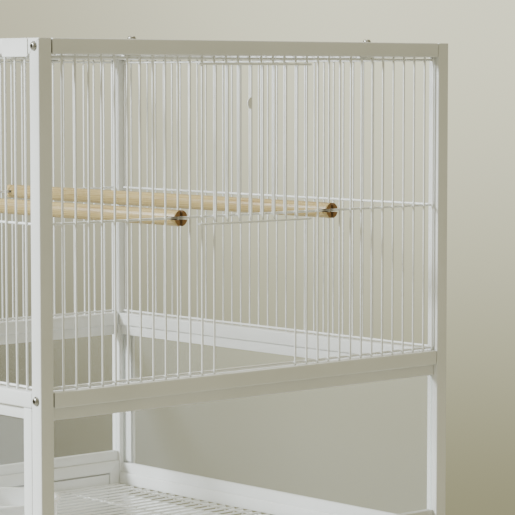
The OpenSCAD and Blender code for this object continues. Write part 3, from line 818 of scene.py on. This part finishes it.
def makeSidePanel(face):
    reach = halfDepth - wire["borderInset"]
    foot, head = top - wire["middleRailDrop"], top - tube
    levels = crossLevels()
    cutEdge = 3 * wire["sidePitch"]
    weldDepth = (wire["barDepth"] + wire["crossDepth"]) / 2
    full = [x for x in sideXs() if abs(x) > cutEdge] + [-reach, reach]
    short = [x for x in sideXs() if abs(x) < cutEdge]
    end = reach + wire["overrun"]
    parts = uprights(foot, head, wire["barDepth"], full)
    parts += uprights(levels[1] - wire["cutTail"], head, wire["barDepth"], short)
    parts += barRow(crossWire(-end, end, wire["crossDepth"]), [(0, 0, z) for z in levels])
    crossings = [(x, weldDepth, z) for x in full for z in levels]
    crossings += [(x, weldDepth, z) for x in short for z in levels[:2]]
    parts += beadsAt(crossings)
    settleWires(parts, face + "_wires", "cage", face + "_wire_panel", face)


frontDoor = {
    "cutBars": 7,
    "headDrop": 88.0 * mm,
    "wire": 3.0 * mm,
    "hingeDrops": (115.0 * mm, 296.0 * mm),
    "sleeve": 16.0 * mm,
    "sleeveRadius": 2.9 * mm,
    "boltDrop": 205.0 * mm,
    "boltRadius": 2.0 * mm,
    "boltDepth": -1.0 * mm,
    "sideGap": 4.6 * mm,    # from the bar beside the doorway to the door's rim
    "depthGap": 0.3 * mm,   # between the door's rim and the bars behind it
    "overlap": 1.5 * mm,    # how far wires run past the corner of the doorway
    "lap": 3.0 * mm,
    "hingePlate": 1.2 * mm,
    "keeper": (8.0 * mm, 1.0 * mm, 4.0 * mm),      # towards the bolt, away from it, half its height
    "footRise": 5.0 * mm,
    "headRise": 4.0 * mm,
    "bend": 4.0 * mm,
    "lowRailDrop": 250.0 * mm,
    "railSet": 1.9 * mm,    # the door's rails lie this far in front of its bars
    "plate": 34.0 * mm,
    "plateInset": 38.0 * mm,
    "plateHalf": 7.0 * mm,
    "plateFront": 1.6 * mm,
    "plateBack": 0.6 * mm,
    "guideAt": (4.5 * mm, 29.5 * mm),
    "guide": 5.0 * mm,
    "guideWall": 1.2 * mm,
    "boltPlay": 0.05 * mm,
    "rod": 38.0 * mm,
    "rodMiddle": 16.0 * mm,
    "lever": (7.5 * mm, 13.5 * mm),
    "leverRise": 10.0 * mm,
    "leverHalf": 0.75 * mm,
}


def doorHalfWidth():
    return (frontDoor["cutBars"] + 1) * wire["frontPitch"] + frontDoor["sideGap"]


def doorDepth():
    return wire["barDepth"] - wire["bar"] / 2 - frontDoor["wire"] / 2 - frontDoor["depthGap"]


def makeLongPanel(face):
    reach = halfWidth - wire["borderInset"]
    foot, head = top - wire["middleRailDrop"], top - tube
    levels = crossLevels()
    d = wire["barDepth"]
    weldDepth = (d + wire["crossDepth"]) / 2
    pitch = wire["frontPitch"]
    cutEdge = (frontDoor["cutBars"] + 0.5) * pitch if face == "front" else -1
    full = [x for x in frontXs(reach) if abs(x) > cutEdge] + [-reach, reach]
    short = [x for x in frontXs(reach) if abs(x) < cutEdge]
    end = reach + wire["overrun"]
    parts = uprights(foot, head, d, full)
    crossings = [(x, weldDepth, z) for x in full for z in levels]
    whole = [levels[0], levels[2]] if short else levels
    parts += barRow(crossWire(-end, end, wire["crossDepth"]), [(0, 0, z) for z in whole])
    if short:
        doorHead = top - frontDoor["headDrop"]
        past, lap = frontDoor["overlap"], frontDoor["lap"]
        edge = (frontDoor["cutBars"] + 1) * pitch + past
        parts += uprights(doorHead - past, head, d, short)
        parts.append(crossWire(-edge, edge, wire["crossDepth"], doorHead))
        parts.append(crossWire(edge - lap, end, wire["crossDepth"], levels[1]))
        parts.append(crossWire(-end, -edge + lap, wire["crossDepth"], levels[1]))
        crossings += [(x, weldDepth, z) for x in short for z in (levels[0], doorHead)]
        crossings += [(s * (edge - past), weldDepth, doorHead) for s in (-1, 1)]
        parts += frontDoorFittings()
    parts += beadsAt(crossings)
    settleWires(parts, face + "_wires", "cage", face + "_wire_panel", face)


def sleeveRound(x, depth, z, radius, bore, length, axis="z"):
    # a short tube that a wire or a bolt runs in
    tubePart = addRound(axis, length, 2 * radius, (x, depth, z), 24)
    k = axisNumber[axis]
    pickFaces(tubePart, lambda c, n: abs(n[k]) > 0.9)
    bpy.ops.mesh.inset(thickness=radius - bore)
    bpy.ops.mesh.bridge_edge_loops()
    bpy.ops.object.mode_set(mode="OBJECT")
    return tubePart


def frontDoorFittings():
    # hinge sleeves on the hinge side and the keeper of the slide bolt on the other
    pitch = wire["frontPitch"]
    hingeBar = -(frontDoor["cutBars"] + 1) * pitch
    bore = frontDoor["wire"] / 2 + frontDoor["boltPlay"]
    parts = []
    for drop in frontDoor["hingeDrops"]:
        z = top - drop
        parts.append(sleeveRound(
            -doorHalfWidth(), doorDepth(), z, frontDoor["sleeveRadius"], bore, frontDoor["sleeve"]))
        low = (hingeBar - pitch - mm, wire["barDepth"] - frontDoor["hingePlate"], z - frontDoor["sleeve"] / 2)
        high = (hingeBar + mm, wire["barDepth"], z + frontDoor["sleeve"] / 2)
        parts.append(roundedBox(low, high, 0.35 * mm))
    keeper = (frontDoor["cutBars"] + 2) * pitch
    towards, away, rise = frontDoor["keeper"]
    z = top - frontDoor["boltDrop"]
    front = frontDoor["boltDepth"] - frontDoor["boltRadius"] - mm
    block = roundedBox(
        (keeper - towards, front, z - rise), (keeper + away, wire["barDepth"], z + rise), 0.9 * mm, 3)
    hole = 2 * frontDoor["boltRadius"] + 0.6 * mm
    cutter = addRound("x", 12 * mm, hole, (keeper - 3 * mm, frontDoor["boltDepth"], z), 24)
    parts.append(hollowed(block, cutter))
    return parts


roof = {
    "crossInset": 5.0 * mm,
    "lugThick": 1.5 * mm,
    "lugClear": 0.01 * mm,
    "lugInner": 4.0 * mm,   # how far a lug reaches in past the rail
    "lugOuter": 2.0 * mm,
    "lugUpright": 2.0 * mm,
    "edge": 0.4 * mm,
}


def makeRoof():
    low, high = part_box("roof_wire_panel")
    reach = halfWidth - wire["borderInset"]
    end = high.y
    z = top - wire["barDepth"]
    crossZ = top - wire["crossDepth"]
    xs = frontXs(reach) + [-reach, reach]
    parts = barRow(roundBar("y", -end, end, wire["bar"], (0, 0, z)), [(x, 0, 0) for x in xs])
    ys = (-end + roof["crossInset"], -wire["lugAt"], wire["lugAt"], end - roof["crossInset"])
    wide = reach + wire["overrun"]
    parts += barRow(crossWire(-wide, wide, 0, crossZ), [(0, y, 0) for y in ys])
    parts += beadsAt([(x, y, (z + crossZ) / 2) for x in xs for y in ys], "z")
    half = wire["lug"] / 2
    foot = top - tube - roof["lugThick"]
    for side in (-1, 1):
        inner = side * (halfWidth - tube - roof["lugInner"])
        outer = side * (halfWidth - roof["lugOuter"])
        upright = inner + side * roof["lugUpright"]
        for y in (-wire["lugAt"], wire["lugAt"]):
            for far, head in ((outer, top - tube - roof["lugClear"]), (upright, crossZ)):
                xLow, xHigh = sorted((inner, far))
                parts.append(roundedBox((xLow, y - half, foot), (xHigh, y + half, head), roof["edge"]))
    settleWires(parts, "roof_wires", "cage", "roof_wire_panel")


makeSidePanel("left")
makeSidePanel("right")
makeLongPanel("front")
makeLongPanel("back")
makeRoof()
print("wire panels made")

# guillotine doors

sideDoor = {
    "height": 157.0 * mm,
    "railDepth": 1.6 * mm,
    "barDepth": 3.5 * mm,
    "eye": 3.6 * mm,
    "tail": 2.6 * mm,
    "tabDrop": 38.7 * mm,     # below the door's top bar
    "tabHeight": 6.0 * mm,
    "tabWidth": 5.2 * mm,
    "tabThick": 1.2 * mm,
}


def curledRail(z):
    guide = 4.5 * wire["sidePitch"]
    eye, depth = sideDoor["eye"], sideDoor["railDepth"]
    centreY = depth + eye
    right = arc((guide, centreY, z), eye, -90, 90, 12, (1, 0, 0), (0, 1, 0))
    points = [Vector((guide - sideDoor["tail"], centreY + eye, z))] + right[::-1]
    mirrored = [Vector((-p.x, p.y, p.z)) for p in points[::-1]]
    return bentWire(points + mirrored, wire["bar"], 12)


def makeSideDoor(face):
    node = face + "_door"
    low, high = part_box(node)
    height = sideDoor["height"]
    middle = (low.z + high.z) / 2
    foot, head = middle - height / 2, middle + height / 2
    xs = [(k - 0.5) * wire["sidePitch"] for k in range(-3, 5)]
    bars = uprights(foot, head, sideDoor["barDepth"], xs)
    rails = [curledRail(foot), curledRail(head)]
    weldDepth = (sideDoor["barDepth"] + sideDoor["railDepth"]) / 2
    beads = beadsAt([(x, weldDepth, z) for x in xs for z in (foot, head)])
    tab = addRound("y", sideDoor["tabThick"], 2 * sideDoor["tabHeight"], (0, 0, 0), 40)
    tab.data.transform(Matrix.Diagonal((sideDoor["tabWidth"] / sideDoor["tabHeight"], 1, 1, 1)))
    makeActive(tab)
    bpy.ops.object.mode_set(mode="EDIT")
    bpy.ops.mesh.select_all(action="SELECT")
    bpy.ops.mesh.bisect(plane_co=(0, 0, 0), plane_no=(1, 0, 0), use_fill=True, clear_outer=True)
    bpy.ops.object.mode_set(mode="OBJECT")
    pickEdges(tab, lambda a, b: True)
    bevelPicked(0.3 * mm, 2)
    tab.data.transform(Matrix.Translation((xs[3], sideDoor["barDepth"], head - sideDoor["tabDrop"])))
    settleWires(bars + rails + beads + [tab], node + "_wires", node, node, face)


def doorRim(half, depth, foot, head):
    bend = frontDoor["bend"]
    ring = []
    for cx, cz, start in ((half, head, 0), (-half, head, 90), (-half, foot, 180), (half, foot, 270)):
        inner = (cx - math.copysign(bend, cx), depth, cz + (bend if cz == foot else -bend))
        ring += arc(inner, bend, start, start + 90, 6, (1, 0, 0), (0, 0, 1))
    closing = [(ring[0] + ring[-1]) / 2, ring[0] + Vector((0, 0, 0.5 * mm))]
    return bentWire(ring + closing, frontDoor["wire"], 14)


def makeFrontDoor():
    half, depth = doorHalfWidth(), doorDepth()
    foot = top - wire["crossDrops"][2] + frontDoor["footRise"]
    head = top - frontDoor["headDrop"] + frontDoor["headRise"]
    xs = [k * wire["frontPitch"] for k in range(-frontDoor["cutBars"], frontDoor["cutBars"] + 1)]
    levels = (top - wire["crossDrops"][1], top - frontDoor["lowRailDrop"])
    parts = [doorRim(half, depth, foot, head)]
    parts += uprights(foot, head, depth, xs)
    parts += barRow(crossWire(-half, half, depth - frontDoor["railSet"]), [(0, 0, z) for z in levels])
    parts += beadsAt([(x, depth - 0.9 * mm, z) for x in xs for z in levels])
    start = half - frontDoor["plateInset"]
    z = top - frontDoor["boltDrop"]
    tall = frontDoor["plateHalf"]
    parts.append(roundedBox((start, depth - frontDoor["plateFront"], z - tall),
                            (start + frontDoor["plate"], depth - frontDoor["plateBack"], z + tall), 0.3 * mm))
    radius = frontDoor["boltRadius"]
    for along in frontDoor["guideAt"]:
        parts.append(sleeveRound(start + along, frontDoor["boltDepth"], z, radius + frontDoor["guideWall"],
                                 radius + frontDoor["boltPlay"], frontDoor["guide"], "x"))
    settleWires(parts, "front_door_wires", "front_door", "front_door", "front")


def makeSlideBolt():
    start = doorHalfWidth() - frontDoor["plateInset"]
    z = top - frontDoor["boltDrop"]
    depth, radius = frontDoor["boltDepth"], frontDoor["boltRadius"]
    rod = addRound("x", frontDoor["rod"], 2 * radius, (start + frontDoor["rodMiddle"], depth, z), 24)
    pickFaces(rod, lambda c, n: abs(n.x) > 0.9)
    bevelPicked(0.7 * mm, 3)
    near, far = (start + along for along in frontDoor["lever"])
    thin = frontDoor["leverHalf"]
    lever = roundedBox((near, depth - thin, z), (far, depth + thin, z + frontDoor["leverRise"]), 0.6 * mm, 3)
    piece = joined("front_door_bolt_rod", [rod, lever])
    piece.data.transform(faceMatrix("front"))
    settle(smoothed(piece), "front_door_bolt_rod", zinc, "front_door_bolt", "zinc_steel", "front_door_bolt")


makeSideDoor("left")
makeSideDoor("right")
makeFrontDoor()
makeSlideBolt()
print("doors made")

# channels, clear panels, tray and floor

channel = {
    "edge": 0.8 * mm,
    "sheetEdge": 0.25 * mm,
}


def makeChannels():
    for face in faceTurns:
        piece = softCopy(face + "_channels", channel["edge"], 3)
        settle(piece, face + "_channel_strips", frameCoat, "cage", "white_paint", face + "_channels")


def makeClearPanels():
    for face in faceTurns:
        node = face + "_clear_panel"
        low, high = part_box(node)
        piece = roundedBox(low, high, channel["sheetEdge"], 2)
        settle(piece, face + "_clear_sheet", clearFace, "cage", "clear_acrylic", node)
        piece.data.materials.append(clearEdge)
        thin = 1 if face in ("front", "back") else 0
        for polygon in piece.data.polygons:
            polygon.material_index = 0 if abs(polygon.normal[thin]) > 0.9 else 1


grate = {
    "hook": 2.6 * mm,
    "drop": 5.0 * mm,
    "crossYs": (-57 * mm, 57 * mm, -170 * mm, 170 * mm),
}


def makeGrate():
    low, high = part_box("floor_grate")
    halfRun = high.y
    reach = high.x
    barZ = high.z - wire["bar"] / 2
    crossZ = barZ - (wire["bar"] + wire["cross"]) / 2 + 0.25 * mm
    hook = grate["hook"]
    back = arc((0, halfRun - hook - wire["bar"] / 2, barZ - hook), hook, 90, 0, 5, (0, 1, 0), (0, 0, 1))
    back.append(back[-1] - Vector((0, 0, grate["drop"])))
    front = [Vector((p.x, -p.y, p.z)) for p in back[::-1]]
    bar = bentWire(front + back, wire["bar"], 10)
    xs = frontXs(halfWidth - wire["borderInset"]) + [-reach + 2 * mm, reach - 2 * mm]
    parts = barRow(bar, [(x, 0, 0) for x in xs])
    ys = [*grate["crossYs"], -halfRun + 3 * mm + wire["cross"], halfRun - 3 * mm - wire["cross"]]
    parts += barRow(crossWire(-reach, reach, 0, crossZ), [(0, y, 0) for y in ys])
    parts += beadsAt([(x, y, (barZ + crossZ) / 2) for x in xs for y in ys], "z")
    settleWires(parts, "floor_wires", "cage", "floor_grate")


tray = {
    "edge": 0.4 * mm,
}


def makeTray():
    piece = softCopy("tray", tray["edge"])
    settle(piece, "tray_sheet", trayCoat, "tray", "white_paint", "tray")
    low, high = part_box("right_infill_panel")
    piece = roundedBox(low, high, tray["edge"])
    settle(piece, "right_infill_sheet", frameCoat, "cage", "white_paint", "right_infill_panel")


makeChannels()
makeClearPanels()
makeGrate()
makeTray()
print("lower part made")

# perches and bowls

perch = {
    "slot": 3.4 * mm,
    "slotDepth": 14.0 * mm,
    "edge": 0.5 * mm,
}


def makePerch(side):
    node = side + "_perch"
    low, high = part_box(node)
    middle = (low + high) / 2
    length = high.x - low.x
    piece = addRound("x", length, high.z - low.z, middle, 56)
    for end in (low.x, high.x):
        for wide in ("y", "z"):
            size = Vector((2 * perch["slotDepth"], perch["slot"], perch["slot"]))
            size[axisNumber[wide]] = 30 * mm
            centre = Vector((end, middle.y, middle.z))
            hollowed(piece, addBox(centre - size / 2, centre + size / 2))
    applied(piece, "BEVEL", width=perch["edge"], segments=2, limit_method="ANGLE",
            angle_limit=math.radians(50))
    smoothed(piece, 40)
    centre = tuple(middle)
    settle(piece, node + "_dowel", planedWood(node + "Wood", centre), "cage", "wood", node)
    piece.data.materials.append(endGrain(node + "End", centre))
    piece.data.materials.append(grooveShadeWood)
    radius = (high.z - low.z) / 2
    # sawn ends get end grain; the faces deep in the slots get the near black groove colour, which is painted
    # shade
    for polygon in piece.data.polygons:
        off = polygon.center - middle
        out = off.yz.length
        facing = off.yz.dot(polygon.normal.yz) / max(out, 1e-6)
        inset = length / 2 - abs(off.x)
        if abs(polygon.normal.x) > 0.6:
            polygon.material_index = 1 if inset < mm else 2
        elif facing < 0.8 and out < radius - perch["edge"] and inset < perch["slotDepth"] + mm:
            polygon.material_index = 2


bowl = {
    "rim": 3.0 * mm,
    "wall": 2.0 * mm,
    "foot": 0.9,
}


def makeBowl(node):
    low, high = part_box(node)
    r, h = (high.x - low.x) / 2, high.z - low.z
    foot = r * bowl["foot"]
    w, rim = bowl["wall"], bowl["rim"]
    wallTop = r - rim
    profile = [
        (foot - 6 * mm, 0.6 * mm), (foot - 5 * mm, 0), (foot - 1.6 * mm, 0),
        (foot - 0.5 * mm, 0.5 * mm), (foot, 1.6 * mm),
        (foot + (wallTop - foot) * 0.5, h * 0.5), (wallTop, h - 4.2 * mm), (wallTop + 0.4 * mm, h - 4.0 * mm),
        (r - 0.5 * mm, h - 4.0 * mm), (r, h - 3.4 * mm), (r, h - 0.9 * mm),
        (r - 0.3 * mm, h - 0.25 * mm), (r - mm, h),
        (wallTop - w + 1.2 * mm, h), (wallTop - w + 0.3 * mm, h - 0.3 * mm), (wallTop - w, h - 1.2 * mm),
        (foot - w + (wallTop - foot) * 0.5, h * 0.5), (foot - w - 0.4 * mm, 5 * mm),
        (foot - w - 1.6 * mm, 2.8 * mm),
        (foot - w - 4 * mm, w), (foot * 0.3, w),
    ]
    middle = (low + high) / 2
    piece = turned(profile, (middle.x, middle.y, low.z), 96)
    settle(smoothed(piece, 45), node + "_shell", bowlPlastic, node, "white_plastic", node)


makePerch("front")
makePerch("back")
makeBowl("feeding_bowl")
makeBowl("water_bowl")
print("perches and bowls made")

# bolts and plate

boltHead = {
    "radius": 4.5 * mm,
    "height": 2.8 * mm,
    "washer": 0.55 * mm,
    "socket": 1.7 * mm,
    "shank": 2.5 * mm,
}


def makeBoltHead(shankLength):
    r, h, washer = boltHead["radius"], boltHead["height"], boltHead["washer"]
    shank = boltHead["shank"]
    inner = r * 0.86
    profile = [
        (shank - 0.5 * mm, -shankLength), (shank, -shankLength + 0.5 * mm),
        (shank, 0.01 * mm), (r, 0.01 * mm), (r, washer - 0.15 * mm), (r - 0.15 * mm, washer),
        (inner + 0.1 * mm, washer), (inner, washer + 0.1 * mm),
        (inner, washer + 0.35 * mm), (inner * 0.95, h * 0.60), (inner * 0.80, h * 0.86),
        (inner * 0.62, h * 0.985),
        (inner * 0.52, h),
    ]
    bolt = turned(profile, (0, 0, 0), 32)
    socket = addRound("z", 3.2 * mm, 2 * boltHead["socket"], (0, 0, h), 6)
    return hollowed(bolt, socket)


def makeBolts():
    frontHeads, roofHeads = [], []
    for low, high in solidsOf("frame_bolts"):
        size = high - low
        if size.z > size.y:
            roofHeads.append(((low + high) / 2, size.z))
        else:
            frontHeads.append(((low + high) / 2, size.y))
    length = frontHeads[0][1] - boltHead["height"]
    bolt = makeBoltHead(length)
    parts = []
    for middle, _ in frontHeads:
        side = 1 if middle.y > 0 else -1
        turn = Matrix.Rotation(-side * math.pi / 2, 4, "X")
        parts.append(copied(bolt, Matrix.Translation((middle.x, side * halfDepth, middle.z)) @ turn))
    bpy.data.objects.remove(bolt)
    bolt = makeBoltHead(roofHeads[0][1] - boltHead["height"])
    parts += [copied(bolt, Matrix.Translation((middle.x, middle.y, top))) for middle, _ in roofHeads]
    bpy.data.objects.remove(bolt)
    piece = smoothed(joined("frame_bolt_set", parts), 40)
    settle(piece, "frame_bolt_set", zinc, "cage", "zinc_steel", "frame_bolts")


def makePlate():
    low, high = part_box("name_plate")
    piece = addBox(low, high)
    pickEdges(piece, lambda a, b: abs((a - b).y) > 0.3 * mm)
    bevelPicked(1.6 * mm, 5)
    pickFaces(piece, lambda c, n: n.y < -0.9)
    bpy.ops.mesh.inset(thickness=0.9 * mm)
    bpy.ops.transform.translate(value=(0, 0.18 * mm, 0))
    bpy.ops.object.mode_set(mode="OBJECT")
    applied(piece, "BEVEL", width=0.12 * mm, segments=2, limit_method="ANGLE", angle_limit=math.radians(30))
    settle(smoothed(piece), "blank_plate", plateEnamel, "cage", "plate_enamel", "name_plate")


makeBolts()
makePlate()
print("bolts and plate made")

# shelf and casters

shelf = {
    "wire": 3.0 * mm,
    "pitch": 26.0 * mm,
    "supportXs": (-90 * mm, 90 * mm),
}


def makeShelf():
    low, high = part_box("storage_shelf")
    z = high.z - shelf["wire"] / 2
    under = z - shelf["wire"] + 0.3 * mm
    count = int((high.y - 8 * mm) / shelf["pitch"])
    ys = [k * shelf["pitch"] for k in range(-count, count + 1)] + [-high.y + 2 * mm, high.y - 2 * mm]
    parts = barRow(roundBar("x", low.x, high.x, shelf["wire"], (0, 0, z)), [(0, y, 0) for y in ys])
    xs = [*shelf["supportXs"], low.x + tube + 6 * mm, high.x - tube - 6 * mm]
    parts += barRow(roundBar("y", low.y, high.y, shelf["wire"], (0, 0, under)), [(x, 0, 0) for x in xs])
    parts += beadsAt([(x, y, (z + under) / 2) for x in xs for y in ys], "z")
    settleWires(parts, "shelf_wires", "cage", "storage_shelf")


caster = {
    "hub": 8.0 * mm,
    "tread": 5.0 * mm,
    "edge": 0.4 * mm,
    "pedalEdge": 0.8 * mm,
    "plugEdge": 0.5 * mm,
    "ribs": 6,
    "ribThick": 1.6 * mm,
    "ribWidth": 4.8 * mm,
    "nut": 13.0 * mm,
    "nutThick": 2.6 * mm,
}


def makeWheel(name):
    node = "caster_wheel_" + name
    low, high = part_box(node)
    middle = (low + high) / 2
    r = (high.z - low.z) / 2
    w = (high.y - low.y) / 2
    rimR = r - caster["tread"]
    tyre = turned([
        (rimR, -w + mm), (r - 2.2 * mm, -w + mm), (r - 0.9 * mm, -w + 1.7 * mm),
        (r - 0.2 * mm, -w + 3.6 * mm), (r, -w + 6 * mm),
        (r, w - 6 * mm), (r - 0.2 * mm, w - 3.6 * mm), (r - 0.9 * mm, w - 1.7 * mm), (r - 2.2 * mm, w - mm),
        (rimR, w - mm)], (0, 0, 0), 64)
    hubR = caster["hub"]
    core = turned([
        (4.1 * mm, -w), (hubR - 0.6 * mm, -w), (hubR, -w + 0.6 * mm), (hubR + 0.4 * mm, -w + 3.4 * mm),
        (rimR - 3.4 * mm, -w + 3.4 * mm), (rimR - 1.8 * mm, -w + 1.2 * mm), (rimR + 0.3 * mm, -w + 0.8 * mm),
        (rimR + 0.3 * mm, w - 0.8 * mm), (rimR - 1.8 * mm, w - 1.2 * mm), (rimR - 3.4 * mm, w - 3.4 * mm),
        (hubR + 0.4 * mm, w - 3.4 * mm), (hubR, w - 0.6 * mm), (hubR - 0.6 * mm, w),
        (4.1 * mm, w)], (0, 0, 0), 64)
    ribs = []
    thin, wide = caster["ribThick"] / 2, caster["ribWidth"] / 2
    for k in range(caster["ribs"]):
        for side in (-1, 1):
            middleZ = side * (w - 4.4 * mm)
            rib = roundedBox(
                (hubR - mm, -thin, middleZ - wide), (rimR - 2 * mm, thin, middleZ + wide), 0.3 * mm)
            rib.data.transform(Matrix.Rotation(math.tau * k / caster["ribs"], 4, "Z"))
            ribs.append(rib)
    core = joined("core", [core] + ribs)
    lay = Matrix.Translation(middle) @ Matrix.Rotation(math.pi / 2, 4, "X")
    for part in (tyre, core):
        part.data.transform(lay)
    settle(smoothed(tyre, 40), "caster_tyre_" + name, treadRubber, "wheel_" + name, "wheel_rubber", node)
    settle(smoothed(core, 40), "caster_hub_" + name, hubPlastic, "wheel_" + name, "grey_plastic")


def makeAxle(name):
    node = "caster_axle_" + name
    low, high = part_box(node)
    middle = (low + high) / 2
    w = (high.y - low.y) / 2
    rod = turned([
        (2.0 * mm, -w), (3.4 * mm, -w), (4.0 * mm, -w + 0.6 * mm), (4.0 * mm, w - 0.6 * mm),
        (3.4 * mm, w), (2.0 * mm, w)], (0, 0, 0), 32)
    parts = [rod]
    for side in (-1, 1):
        nut = addRound("z", caster["nutThick"], caster["nut"], (0, 0, side * (w - 1.6 * mm)), 6)
        pickEdges(nut, lambda a, b: True)
        bevelPicked(0.35 * mm, 2)
        parts.append(nut)
    piece = joined("axle", parts)
    piece.data.transform(Matrix.Translation(middle) @ Matrix.Rotation(math.pi / 2, 4, "X"))
    settle(smoothed(piece), node + "_bolt", zinc, "caster_" + name, "zinc_steel", node)


def makeCasters():
    for name, (sx, sy) in corners.items():
        makeWheel(name)
        makeAxle(name)
        fork = softCopy("caster_fork_" + name, caster["edge"])
        settle(fork, "caster_fork_steel_" + name, zinc, "caster_" + name, "zinc_steel", "caster_fork_" + name)
        if sy < 0:
            pedal = softCopy("caster_brake_" + name, caster["pedalEdge"], 3)
            settle(pedal, "caster_pedal_" + name, darkPlastic,
                   "brake_" + name, "grey_plastic", "caster_brake_" + name)
    stems = softCopy("caster_stems", caster["edge"])
    settle(stems, "caster_kingpins", zinc, "cage", "zinc_steel", "caster_stems")
    plugs = softCopy("leg_plugs", caster["plugEdge"])
    settle(plugs, "leg_plug_caps", darkPlastic, "cage", "grey_plastic", "leg_plugs")


makeShelf()
makeCasters()
print("shelf and casters made")

# CAD nodes inside the tubes keep their shape

for node in ("leg_joiners", "rail_end_nuts"):
    frame["nodes"][node].data.materials.clear()
    frame["nodes"][node].data.materials.append(zinc)
